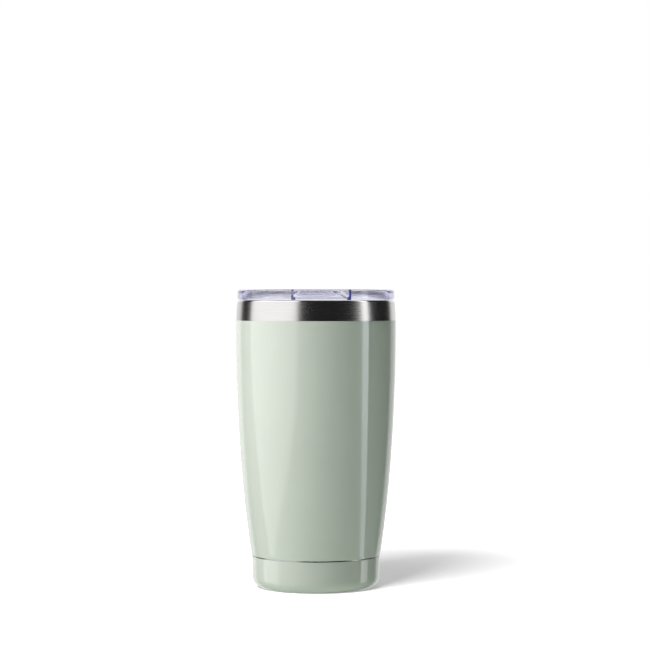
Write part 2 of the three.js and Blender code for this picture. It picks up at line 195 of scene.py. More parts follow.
def turned(name: str, outline: list[Point], segments: int = FINE) -> bpy.types.Object:
    """Turns an outline round +Z.

    Args:
        name: name of the piece.
        outline: (radius, height) points; it closes on itself unless both ends are on the axis.
        segments: number of segments round the axis.

    Returns:
        The turned object.
    """
    bm = bmesh.new()
    angles = [math.tau * i / segments for i in range(segments)]
    rings = [
        [bm.verts.new((0, 0, z))]
        if r < ON_AXIS
        else [bm.verts.new((r * math.cos(a), r * math.sin(a), z)) for a in angles]
        for r, z in outline
    ]
    if len(rings[0]) > 1:
        rings.append(rings[0])
    for low, high in zip(rings, rings[1:]):
        for i in range(segments if max(len(low), len(high)) > 1 else 0):
            j = i + 1
            around = [low[i % len(low)], low[j % len(low)], high[j % len(high)], high[i % len(high)]]
            bm.faces.new(list(dict.fromkeys(around)))
    return finish_mesh(name, bm)


def extruded(name: str, outline: list[Point], low: float, high: float) -> bpy.types.Object:
    """Raises a plan outline from one height to another.

    Args:
        name: name of the piece.
        outline: the outline's (x, y) points.
        low: lower height.
        high: upper height.

    Returns:
        The extruded object.
    """
    bm = bmesh.new()
    rows = [[bm.verts.new((x, y, z)) for x, y in outline] for z in (low, high)]
    count = len(outline)
    for i in range(count):
        j = (i + 1) % count
        bm.faces.new((rows[0][i], rows[0][j], rows[1][j], rows[1][i]))
    for row in rows:
        bm.faces.new(row)
    return finish_mesh(name, bm)


def place(piece: bpy.types.Object, matrix: Matrix) -> bpy.types.Object:
    """Moves a piece's own vertices, so that its origin stays at the frame's."""
    piece.data.transform(matrix)
    return piece


def baked(piece: bpy.types.Object) -> bpy.types.Object:
    """Applies a piece's modifiers to its mesh.

    Args:
        piece: the piece.

    Returns:
        The same piece, with its new mesh.
    """
    shaped = piece.evaluated_get(bpy.context.evaluated_depsgraph_get())
    mesh = bpy.data.meshes.new_from_object(shaped)
    piece.modifiers.clear()
    piece.data = mesh
    return piece


def combined(piece: bpy.types.Object, tool: bpy.types.Object, how: Cut) -> bpy.types.Object:
    """Joins, cuts or intersects a piece with a tool, which is used up.

    Args:
        piece: the solid that is changed.
        tool: the solid that changes it.
        how: the operation.

    Returns:
        The changed piece.
    """
    step = piece.modifiers.new("combine", "BOOLEAN")
    step.operation, step.object, step.solver = how.value, tool, "EXACT"
    baked(piece)
    bpy.data.objects.remove(tool)
    return piece


def eased(piece: bpy.types.Object, width: float, segments: int = 2) -> bpy.types.Object:
    """Rounds a piece's sharp edges.

    Args:
        piece: the solid.
        width: width of the rounding.
        segments: steps along it.

    Returns:
        The changed piece.
    """
    step = piece.modifiers.new("ease", "BEVEL")
    step.width, step.segments, step.limit_method = width, segments, "ANGLE"
    step.angle_limit, step.use_clamp_overlap = SHARP_ANGLE, True
    baked(piece)
    smooth(piece.data)
    return piece


# ---- Node trees ----
class Tree:
    """Adds nodes to a node tree in few words."""

    def __init__(self, tree: bpy.types.NodeTree) -> None:
        """Wraps a node tree."""
        self.tree = tree

    def node(self, kind: str, links: dict | None = None, **settings: object) -> bpy.types.Node:
        """Adds a node.

        Args:
            kind: the node's type name.
            links: input socket (name or index) to a value, or to an output socket to link.
            **settings: the node's own properties.

        Returns:
            The new node.
        """
        made = self.tree.nodes.new(kind)
        for key, value in settings.items():
            setattr(made, key, value)
        for key, value in (links or {}).items():
            if isinstance(value, Socket):
                self.tree.links.new(value, made.inputs[key])
            else:
                made.inputs[key].default_value = value
        return made

    def math(self, operation: str, *values: Value) -> Socket:
        """Adds a Math node and returns its result."""
        return self.node("ShaderNodeMath", dict(enumerate(values)), operation=operation).outputs[0]

    def vector(self, operation: str, *values: Value | tuple) -> bpy.types.Node:
        """Adds a Vector Math node."""
        return self.node("ShaderNodeVectorMath", dict(enumerate(values)), operation=operation)

    def noise(self, where: Socket, scale: Value, detail: float = 2.0) -> Socket:
        """Adds a noise texture and returns its value.

        Args:
            where: the vector that it is read at.
            scale: its scale, a value or a socket.
            detail: its number of octaves.

        Returns:
            The noise value, about 0.2 to 0.8.
        """
        links = {"Vector": where, "Scale": scale, "Detail": detail}
        return self.node("ShaderNodeTexNoise", links).outputs[0]

    def ramp(
        self, value: Socket, low: Value, high: Value, to_low: Value = 0.0, to_high: Value = 1.0
    ) -> Socket:
        """Maps a value smoothly from one range to another.

        Args:
            value: the socket to map.
            low: value that gives to_low.
            high: value that gives to_high.
            to_low: low end of the result.
            to_high: high end of the result.

        Returns:
            The mapped value.
        """
        links = {"Value": value, "From Min": low, "From Max": high, "To Min": to_low, "To Max": to_high}
        made = self.node("ShaderNodeMapRange", links, interpolation_type="SMOOTHSTEP")
        return made.outputs[0]

    def blend(
        self, amount: Value, first: Socket | Colour, second: Socket | Colour, how: str = "MIX"
    ) -> Socket:
        """Mixes two colours.

        Args:
            amount: the mix, a value or a socket.
            first: first colour.
            second: second colour.
            how: the blend type.

        Returns:
            The mixed colour.
        """
        made = self.tree.nodes.new("ShaderNodeMix")
        made.data_type, made.blend_type = "RGBA", how
        for socket, value in zip((made.inputs[0], made.inputs[6], made.inputs[7]), (amount, first, second)):
            if isinstance(value, Socket):
                self.tree.links.new(value, socket)
            else:
                socket.default_value = value
        return made.outputs[2]

    def here(self) -> Socket:
        """The position in the piece's own frame."""
        return self.node("ShaderNodeTexCoord").outputs["Object"]


class Effect:
    """A shader node group with named inputs and outputs, built once."""

    name = ""
    inputs: dict[str, float] = {}
    outputs: tuple[str, ...] = ()
    _made: bpy.types.NodeTree | None = None

    def build(self, tree: Tree, given: bpy.types.Node) -> dict[str, Socket]:
        """Makes the group's nodes.

        Args:
            tree: the group's tree.
            given: the node that holds its inputs.

        Returns:
            Output name to the socket that feeds it.
        """
        raise NotImplementedError

    def group(self) -> bpy.types.NodeTree:
        """Builds the group the first time that it is asked for.

        Returns:
            The node group.
        """
        cls = type(self)
        if cls._made is None:
            made = bpy.data.node_groups.new(self.name, "ShaderNodeTree")
            for key, value in self.inputs.items():
                socket = made.interface.new_socket(key, in_out="INPUT", socket_type="NodeSocketFloat")
                socket.default_value = value
            for key in self.outputs:
                made.interface.new_socket(key, in_out="OUTPUT", socket_type="NodeSocketFloat")
            tree = Tree(made)
            given = tree.node("NodeGroupInput")
            results = self.build(tree, given)
            tree.node("NodeGroupOutput", results)
            cls._made = made
        return cls._made

    def use(self, tree: Tree, **values: Value) -> bpy.types.Node:
        """Places the group in a material.

        Args:
            tree: the material's tree.
            **values: input name, with _ for a space, to its value.

        Returns:
            The group's node.
        """
        links = {key.replace("_", " "): value for key, value in values.items()}
        return tree.node("ShaderNodeGroup", links, node_tree=self.group())


class TurnedGrain(Effect):
    """Fine lines that run round the axis, as turning, spinning and brushing leave them."""

    name = "turned_grain"
    inputs = {"Lines": 9000.0, "Length": 60.0, "Depth": 1.0}
    outputs = ("Streak", "Height")
    SHARE_BROAD = 0.35

    def build(self, tree: Tree, given: bpy.types.Node) -> dict[str, Socket]:
        """Stretches noise round the axis; see Effect.build.

        Args:
            tree: the group's tree.
            given: the node that holds its inputs.

        Returns:
            The streak value and its height.
        """
        parts = tree.node("ShaderNodeSeparateXYZ", {0: tree.here()}).outputs
        flat = tree.node("ShaderNodeCombineXYZ", {0: parts[0], 1: parts[1]}).outputs[0]
        along = tree.math("ADD", tree.vector("LENGTH", flat).outputs[1], parts[2])
        rows = []
        for share in (1.0, self.SHARE_BROAD):
            across = tree.math("MULTIPLY", tree.math("MULTIPLY", along, given.outputs["Lines"]), share)
            swept = tree.vector("SCALE", flat)
            tree.tree.links.new(given.outputs["Length"], swept.inputs["Scale"])
            sides = tree.node("ShaderNodeSeparateXYZ", {0: swept.outputs[0]}).outputs
            where = tree.node("ShaderNodeCombineXYZ", {0: sides[0], 1: sides[1], 2: across}).outputs[0]
            rows.append(tree.noise(where, 1.0, 3.0))
        streak = tree.math("MULTIPLY", tree.math("ADD", rows[0], rows[1]), 0.5)
        return {"Streak": streak, "Height": tree.math("MULTIPLY", streak, given.outputs["Depth"])}


class Drift(Effect):
    """Slow change over the surface, for tone and gloss that are never quite even."""

    name = "drift"
    inputs = {"Scale": 25.0, "Low": 0.95, "High": 1.05}
    outputs = ("Factor",)

    def build(self, tree: Tree, given: bpy.types.Node) -> dict[str, Socket]:
        """Maps a soft noise between two factors; see Effect.build.

        Args:
            tree: the group's tree.
            given: the node that holds its inputs.

        Returns:
            The factor.
        """
        soft = tree.noise(tree.here(), given.outputs["Scale"], 3.0)
        ranged = tree.ramp(soft, *NOISE_SPAN, given.outputs["Low"], given.outputs["High"])
        return {"Factor": ranged}


class FineMarks(Effect):
    """Hairline marks of use that cross each other, and specks of dust."""

    name = "fine_marks"
    inputs = {"Scale": 60.0, "Amount": 0.5, "Dust": 0.3}
    outputs = ("Marks", "Specks")
    TURNS = ((0.4, 0.2, 0.9), (-0.7, 0.5, -0.3))  # the two ways that the hairlines run
    STRETCH = (0.5, 14, 14)  # long and thin
    HAIR = 0.006  # half width of a hairline, in noise values

    def build(self, tree: Tree, given: bpy.types.Node) -> dict[str, Socket]:
        """Takes thin bands of two crossed, warped noises; see Effect.build.

        Args:
            tree: the group's tree.
            given: the node that holds its inputs.

        Returns:
            A mask of hairlines and a mask of specks.
        """
        lines = []
        for turn in self.TURNS:
            links = {"Vector": tree.here(), "Rotation": turn, "Scale": self.STRETCH}
            where = tree.node("ShaderNodeMapping", links).outputs[0]
            value = tree.noise(where, given.outputs["Scale"], 4.0)
            off = tree.math("ABSOLUTE", tree.math("SUBTRACT", value, 0.5))
            lines.append(tree.ramp(off, 0.0, self.HAIR, 1.0, 0.0))
        patches = tree.ramp(tree.noise(tree.here(), 35.0), 0.5, 0.62)
        hair = tree.math("MULTIPLY", tree.math("MAXIMUM", lines[0], lines[1]), patches)
        cells = tree.node("ShaderNodeTexVoronoi", {"Vector": tree.here(), "Scale": 700.0})
        specks = tree.ramp(cells.outputs["Distance"], 0.05, 0.11, 1.0, 0.0)
        rare = tree.ramp(tree.noise(tree.here(), 220.0), 0.6, 0.66)
        dust = tree.math("MULTIPLY", tree.math("MULTIPLY", specks, rare), given.outputs["Dust"])
        return {"Marks": tree.math("MULTIPLY", hair, given.outputs["Amount"]), "Specks": dust}


class EdgeWear(Effect):
    """Where edges stand out and get rubbed."""

    name = "edge_wear"
    inputs = {"Start": 0.53, "End": 0.62, "Amount": 1.0}
    outputs = ("Mask",)

    def build(self, tree: Tree, given: bpy.types.Node) -> dict[str, Socket]:
        """Reads how much the surface stands out, broken up by noise; see Effect.build.

        Args:
            tree: the group's tree.
            given: the node that holds its inputs.

        Returns:
            The mask of worn edges.
        """
        out = tree.node("ShaderNodeNewGeometry").outputs["Pointiness"]
        edge = tree.ramp(out, given.outputs["Start"], given.outputs["End"])
        broken = tree.ramp(tree.noise(tree.here(), 300.0, 3.0), 0.35, 0.6)
        worn = tree.math("MULTIPLY", edge, broken)
        return {"Mask": tree.math("MULTIPLY", worn, given.outputs["Amount"])}


# ---- Finishes ----
MATERIALS: dict[str, bpy.types.Material] = {}
WHITE: Colour = (1.0, 1.0, 1.0, 1.0)


def principled(tree: Tree, constants: dict, links: dict) -> bpy.types.Node:
    """Adds a Principled shader.

    Args:
        tree: the material's tree.
        constants: socket name to a value that is even over the surface.
        links: socket name to the socket that drives it.

    Returns:
        The shader node.
    """
    return tree.node("ShaderNodeBsdfPrincipled", {**constants, **links})


@dataclass(frozen=True)
class Finish:
    """A surface finish; each kind of finish dresses its own tree."""

    name: str
    colour: Colour
    roughness: float

    def dress(self, tree: Tree) -> Socket:
        """Adds the finish's nodes.

        Args:
            tree: the material's tree.

        Returns:
            The shader's output.
        """
        raise NotImplementedError

    def material(self) -> bpy.types.Material:
        """Makes the finish's material the first time that it is asked for.

        Returns:
            The material.
        """
        if self.name in MATERIALS:
            return MATERIALS[self.name]
        made = MATERIALS[self.name] = bpy.data.materials.new(self.name)
        made.use_nodes = True
        made.node_tree.nodes.clear()
        tree = Tree(made.node_tree)
        tree.node("ShaderNodeOutputMaterial", {"Surface": self.dress(tree)})
        return made

    def tone(self, tree: Tree, scale: float, low: float, high: float) -> Socket:
        """The finish's colour with a slow drift in tone.

        Args:
            tree: the material's tree.
            scale: scale of the drift.
            low: darkest factor.
            high: lightest factor.

        Returns:
            The colour.
        """
        factor = Drift().use(tree, Scale=scale, Low=low, High=high).outputs["Factor"]
        return self.scaled(tree, factor)

    def scaled(self, tree: Tree, factor: Socket) -> Socket:
        """Multiplies the finish's colour by a factor."""
        grey = tree.node("ShaderNodeCombineColor", {0: factor, 1: factor, 2: factor}).outputs[0]
        return tree.blend(1.0, self.colour, grey, "MULTIPLY")

    def bump(
        self, tree: Tree, height: Socket, strength: float, distance: float, under: Socket | None = None
    ) -> Socket:
        """Turns a height into a normal.

        Args:
            tree: the material's tree.
            height: the height's socket.
            strength: how strong the relief is.
            distance: its depth in metres.
            under: a normal to add it to.

        Returns:
            The normal.
        """
        links = {"Height": height, "Strength": strength, "Distance": distance}
        if under is not None:
            links["Normal"] = under
        return tree.node("ShaderNodeBump", links).outputs[0]


@dataclass(frozen=True)
class GlossCoat(Finish):
    """Baked gloss coat with a faint orange peel."""

    peel: float = 420.0
    clear_roughness: float = 0.06
    pearl: float = 1.2

    def dress(self, tree: Tree) -> Socket:
        """Builds the coat: tone, peel, hairlines and rubbed edges; see Finish.dress.

        Args:
            tree: the material's tree.

        Returns:
            The shader's output.
        """
        marks = FineMarks().use(tree, Scale=45.0, Amount=0.1, Dust=0.2)
        rough = Drift().use(tree, Scale=40.0, Low=self.roughness * 0.96, High=self.roughness * 1.04)
        rough = tree.math("ADD", rough.outputs[0], tree.math("MULTIPLY", marks.outputs[0], 0.12))
        worn = EdgeWear().use(tree, Start=0.56, End=0.72, Amount=0.25).outputs[0]
        colour = tree.blend(worn, self.tone(tree, 18.0, 0.985, 1.015), (0.86, 0.88, 0.85, 1.0))
        colour = tree.blend(marks.outputs[1], colour, (0.9, 0.9, 0.88, 1.0))
        peel = self.bump(tree, tree.noise(tree.here(), self.peel, 2.0), 0.06, 0.00012)
        constants = {"Coat Weight": 1.0, "Coat Roughness": self.clear_roughness, "IOR": self.pearl}
        links = {"Base Color": colour, "Roughness": rough, "Normal": peel, "Coat Normal": peel}
        return principled(tree, constants, links).outputs[0]


@dataclass(frozen=True)
class TurnedSteel(Finish):
    """Stainless steel with lines round the axis."""

    lines: float = 9000.0
    length: float = 60.0
    depth: float = 0.25
    contrast: float = 0.08
    stretch: float = 0.75
    uneven: float = 0.2

    def dress(self, tree: Tree) -> Socket:
        """Builds the steel: turned lines in tone, gloss and relief; see Finish.dress.

        Args:
            tree: the material's tree.

        Returns:
            The shader's output.
        """
        grain = TurnedGrain().use(tree, Lines=self.lines, Length=self.length, Depth=1.0)
        marks = FineMarks().use(tree, Scale=70.0, Amount=0.5, Dust=0.2)
        drift = Drift().use(tree, Scale=30.0, Low=-0.02, High=0.02).outputs[0]
        low, high = self.roughness * (1 - self.uneven), self.roughness * (1 + self.uneven)
        rough = tree.math("ADD", tree.ramp(grain.outputs[0], 0.35, 0.65, low, high), drift)
        rough = tree.math("ADD", rough, tree.math("MULTIPLY", marks.outputs[0], 0.1))
        shade = tree.ramp(grain.outputs[0], 0.35, 0.65, 1 - self.contrast, 1.0)
        normal = self.bump(tree, grain.outputs[1], self.depth, 0.00002)
        tangent = tree.node("ShaderNodeTangent", direction_type="RADIAL", axis="Z").outputs[0]
        constants = {"Metallic": 1.0, "Anisotropic": self.stretch, "Anisotropic Rotation": 0.25}
        links = {"Base Color": self.scaled(tree, shade), "Roughness": rough, "Normal": normal}
        links["Tangent"] = tangent
        return principled(tree, constants, links).outputs[0]


@dataclass(frozen=True)
class CastMetal(Finish):
    """Metal with a fine cast or rolled grain, such as the getter's case or the foil."""

    grain: float = 1800.0
    relief: float = 0.2
    creases: float = 0.0

    def dress(self, tree: Tree) -> Socket:
        """Builds the metal: tone, grain and soft creases; see Finish.dress.

        Args:
            tree: the material's tree.

        Returns:
            The shader's output.
        """
        fine = tree.noise(tree.here(), self.grain, 3.0)
        rough = tree.ramp(fine, *NOISE_SPAN, self.roughness * 0.8, self.roughness * 1.2)
        normal = self.bump(tree, fine, self.relief, 0.00003)
        if self.creases:
            folds = tree.noise(tree.here(), 120.0, 5.0)
            normal = self.bump(tree, folds, self.creases, 0.0004, normal)
        links = {"Base Color": self.tone(tree, 60.0, 0.88, 1.05), "Roughness": rough, "Normal": normal}
        return principled(tree, {"Metallic": 1.0}, links).outputs[0]


@dataclass(frozen=True)
class SolderGlass(Finish):
    """Solder glass that ran smooth when it melted."""

    def dress(self, tree: Tree) -> Socket:
        """Builds the glass: mottled tone and soft waves; see Finish.dress.

        Args:
            tree: the material's tree.

        Returns:
            The shader's output.
        """
        waves = tree.noise(tree.here(), 500.0, 2.0)
        rough = tree.ramp(waves, *NOISE_SPAN, self.roughness * 0.7, self.roughness * 1.3)
        normal = self.bump(tree, waves, 0.3, 0.0001)
        links = {"Base Color": self.tone(tree, 400.0, 0.8, 1.1), "Roughness": rough, "Normal": normal}
        return principled(tree, {"IOR": 1.6}, links).outputs[0]


@dataclass(frozen=True)
class Silicone(Finish):
    """Milky silicone rubber."""

    def dress(self, tree: Tree) -> Socket:
        """Builds the rubber: matte grain, specks and a milky depth; see Finish.dress.

        Args:
            tree: the material's tree.

        Returns:
            The shader's output.
        """
        marks = FineMarks().use(tree, Scale=50.0, Amount=0.3, Dust=0.8)
        fine = tree.noise(tree.here(), 2600.0, 2.0)
        rough = tree.ramp(fine, *NOISE_SPAN, self.roughness * 0.9, self.roughness * 1.1)
        colour = tree.blend(marks.outputs[1], self.tone(tree, 50.0, 0.96, 1.02), (0.95, 0.95, 0.95, 1.0))
        normal = self.bump(tree, fine, 0.15, 0.00003)
        constants = {"Subsurface Weight": 0.4, "Subsurface Scale": 0.002, "IOR": 1.41}
        links = {"Base Color": colour, "Roughness": rough, "Normal": normal}
        return principled(tree, constants, links).outputs[0]


@dataclass(frozen=True)
class ClearPlastic(Finish):
    """Clear moulded plastic, which turns blue-violet where it is seen edge on."""

    index: float = 1.2
    depth_colour: Colour = (0.2, 0.23, 0.63, 1.0)
    density: float = 44.0
    mirrored: int = 3

    def dress(self, tree: Tree) -> Socket:
        """Builds the plastic: faint flow waves, hairlines and dust; see Finish.dress.

        Args:
            tree: the material's tree.

        Returns:
            The shader's output.
        """
        marks = FineMarks().use(tree, Scale=55.0, Amount=0.7, Dust=0.6)
        drift = Drift().use(tree, Scale=50.0, Low=self.roughness * 0.7, High=self.roughness * 1.3).outputs[0]
        rough = tree.math("ADD", drift, tree.math("MULTIPLY", marks.outputs[0], 0.25))
        rough = tree.math("ADD", rough, tree.math("MULTIPLY", marks.outputs[1], 0.3))
        normal = self.bump(tree, tree.noise(tree.here(), 90.0, 2.0), 0.05, 0.0003)
        constants = {"Transmission Weight": 1.0, "IOR": self.index, "Coat Weight": 1.0, "Coat IOR": 1.5}
        links = {"Base Color": self.tone(tree, 40.0, 0.985, 1.0), "Roughness": rough, "Normal": normal}
        glass = principled(tree, constants, links).outputs[0]
        thin = tree.node("ShaderNodeBsdfTransparent", {0: self.colour}).outputs[0]
        path = tree.node("ShaderNodeLightPath").outputs
        deep = tree.math("GREATER_THAN", path["Glossy Depth"], self.mirrored - 0.5)
        straight = tree.math("MAXIMUM", path["Is Shadow Ray"], deep)
        return tree.node("ShaderNodeMixShader", {0: straight, 1: glass, 2: thin}).outputs[0]

    def material(self) -> bpy.types.Material:
        """Adds the tint that light takes up on its way through; see Finish.material.

        Returns:
            The material.
        """
        made = super().material()
        out = next(n for n in made.node_tree.nodes if n.type == "OUTPUT_MATERIAL")
        if not out.inputs["Volume"].is_linked:
            tree = Tree(made.node_tree)
            links = {"Color": self.depth_colour, "Density": self.density}
            depth = tree.node("ShaderNodeVolumeAbsorption", links).outputs[0]
            made.node_tree.links.new(depth, out.inputs["Volume"])
        return made


@dataclass(frozen=True)
class GlowPaintedTable(Finish):
    """White table top with a painted glow in place of studio light on it, more so away from its middle, where
    the cast shadow falls; mostly only the camera sees the glow.
    """

    glow_near: float = 0.33
    glow_far: float = 1.0
    glow_span: Point = (0.06, 0.4)
    glow_cast: float = 0.03

    def dress(self, tree: Tree) -> Socket:
        """Builds the table top: a faint tooth and the glow; see Finish.dress.

        Args:
            tree: the material's tree.

        Returns:
            Builds the table top: a faint tooth and the painted glow; see Finish.dress.
        """
        tooth = tree.noise(tree.here(), 900.0, 3.0)
        rough = tree.ramp(tooth, *NOISE_SPAN, self.roughness * 0.95, 1.0)
        links = {"Base Color": self.tone(tree, 3.0, 0.99, 1.0), "Roughness": rough}
        top = principled(tree, {"Specular IOR Level": 0.1}, links).outputs[0]
        # painted light: the top glows, brighter away from its middle, mostly for camera rays
        out = tree.vector("LENGTH", tree.here()).outputs[1]
        level = tree.ramp(out, *self.glow_span, self.glow_near, self.glow_far)
        seen = tree.node("ShaderNodeLightPath").outputs["Is Camera Ray"]
        seen = tree.math("MAXIMUM", seen, self.glow_cast)
        glow = tree.node("ShaderNodeEmission", {"Strength": tree.math("MULTIPLY", level, seen)}).outputs[0]
        return tree.node("ShaderNodeAddShader", {0: top, 1: glow}).outputs[0]


SAGE = GlossCoat("sage_gloss", (0.475, 0.555, 0.458, 1.0), 0.5)
BAND_STEEL = TurnedSteel(
    "band_steel", (0.6, 0.59, 0.58, 1.0), 0.26, lines=14000.0, depth=0.06, stretch=0.5, uneven=0.07
)
LINER_STEEL = TurnedSteel("liner_steel", (0.66, 0.655, 0.65, 1.0), 0.3, lines=5000.0, contrast=0.12)
LIP_STEEL = TurnedSteel("lip_steel", (0.74, 0.73, 0.72, 1.0), 0.12, lines=14000.0, contrast=0.04, stretch=0.4)
FOOT_STEEL = TurnedSteel("foot_steel", (0.62, 0.615, 0.61, 1.0), 0.32, lines=4000.0, contrast=0.16)
COPPER = CastMetal("copper_sheet", (0.72, 0.36, 0.19, 1.0), 0.3, creases=0.6)
GETTER_CASE = CastMetal("getter_case", (0.5, 0.5, 0.49, 1.0), 0.42)
SOLDER = SolderGlass("solder_bead", (0.16, 0.2, 0.23, 1.0), 0.15)
CLEAR = ClearPlastic("clear_moulding", (0.965, 0.957, 0.962, 1.0), 0.03)
SILICONE = Silicone("milky_silicone", (0.78, 0.8, 0.82, 1.0), 0.5)
TABLE = GlowPaintedTable("table_top", (0.85, 0.85, 0.85, 1.0), 0.9)


# ---- Putting pieces on the frame ----
def settle(piece: bpy.types.Object, finish: Finish, body: Body, slot: Slot, *nodes: str) -> bpy.types.Object:
    """Dresses a piece, lets it ride on its body, and has it stand for its frame nodes.

    Args:
        piece: the finished shape.
        finish: its finish.
        body: the body it rides on.
        slot: the record's slot that the piece belongs to; not used.
        *nodes: the frame nodes that it replaces.

    Returns:
        The piece.
    """
    piece.data.materials.clear()
    piece.data.materials.append(finish.material())
    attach(piece, body.value)
    if nodes:
        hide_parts(*nodes)
    log.info("%s: %d faces, %s on %s", piece.name, len(piece.data.polygons), finish.name, body.value)
    return piece


def low_z(node: str) -> float:
    """Height of a frame node's lowest point."""
    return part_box(node)[0].z


def high_z(node: str) -> float:
    """Height of a frame node's highest point."""
    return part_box(node)[1].z


def reach_of(node: str) -> float:
    """Radius of a turned frame node."""
    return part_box(node)[1].x


def back_of(node: str) -> float:
    """Furthest point of a frame node towards +Y."""
    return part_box(node)[1].y


@dataclass
class Walls:
    """The vessel's lines that several pieces follow, from the frame and a few wall sizes."""

    coat: float = 0.2 * MM
    fit: float = 0.05 * MM
    steel: float = 0.5 * MM
    proud: float = 0.1 * MM
    lip_in: float = 0.75 * MM
    widest_drop: float = 15 * MM
    body_taper: float = 7.9 * MM
    neck_in: float = 0.9 * MM
    lip_width: float = 1.85 * MM
    lip_cap: float = 1.0 * MM
    vacuum_gap: float = 4.8 * MM
    mouth_depth: float = 18 * MM
    liner_blend: float = 28 * MM
    liner_corner: float = 9 * MM
    foot_draft: float = 0.25 * MM
    foot_corner: float = 6.5 * MM
    ring: float = 2.2 * MM
    recess: float = 1.6 * MM
    body_r: float = field(default_factory=lambda: reach_of("shell_coat"))
    lip_z: float = field(default_factory=lambda: high_z("inner_liner"))
    band_z: float = field(default_factory=lambda: high_z("shell_coat"))
    seam_top: float = field(default_factory=lambda: low_z("shell_coat"))
    seam_low: float = field(default_factory=lambda: high_z("base_coat"))
    foot_r: float = field(default_factory=lambda: reach_of("base_coat"))
    floor_z: float = field(default_factory=lambda: high_z("liner_base"))

    @property
    def skin(self) -> float:
        """Depth of the steel under the coat."""
        return self.coat + self.fit

    @property
    def mouth_r(self) -> float:
        """Radius of the mouth."""
        return self.body_r - self.lip_in - self.lip_width

    @property
    def weld_z(self) -> float:
        """Height of the weld between the liner and its floor."""
        return low_z("inner_liner") - self.fit

    def outside(self, z: float) -> float:
        """Outside radius of the coated body at a height.

        Args:
            z: the height.

        Returns:
            The radius.
        """
        widest = self.lip_z - self.widest_drop
        if z >= widest:
            return self.body_r - self.lip_in * ((z - widest) / self.widest_drop) ** 2
        down = (widest - z) / (widest - (self.seam_top + self.seam_low) / 2)
        return self.body_r - self.body_taper * down**2 - self.neck_in * down**6

    def liner(self, z: float) -> float:
        """Inside radius of the liner at a height.

        Args:
            z: the height.

        Returns:
            The radius.
        """
        drawn = self.outside(z) - self.skin - self.vacuum_gap - 2 * self.steel
        share = smooth_step((self.lip_z - self.mouth_depth - z) / self.liner_blend)
        return self.mouth_r + (drawn - self.mouth_r) * share

    def foot(self, z: float) -> float:
        """Outside radius of the coated foot at a height, above its rounding.

        Args:
            z: the height.

        Returns:
            The radius.
        """
        share = (z - self.corner_z) / (self.seam_low - self.corner_z)
        return self.foot_r - self.foot_draft * (1 - share)

    @property
    def corner_z(self) -> float:
        """Height of the centre of the foot's rounding."""
        return self.foot_corner - self.skin

    @property
    def corner_r(self) -> float:
        """Radius at the centre of the foot's rounding."""
        return self.foot_r - self.foot_draft - self.foot_corner


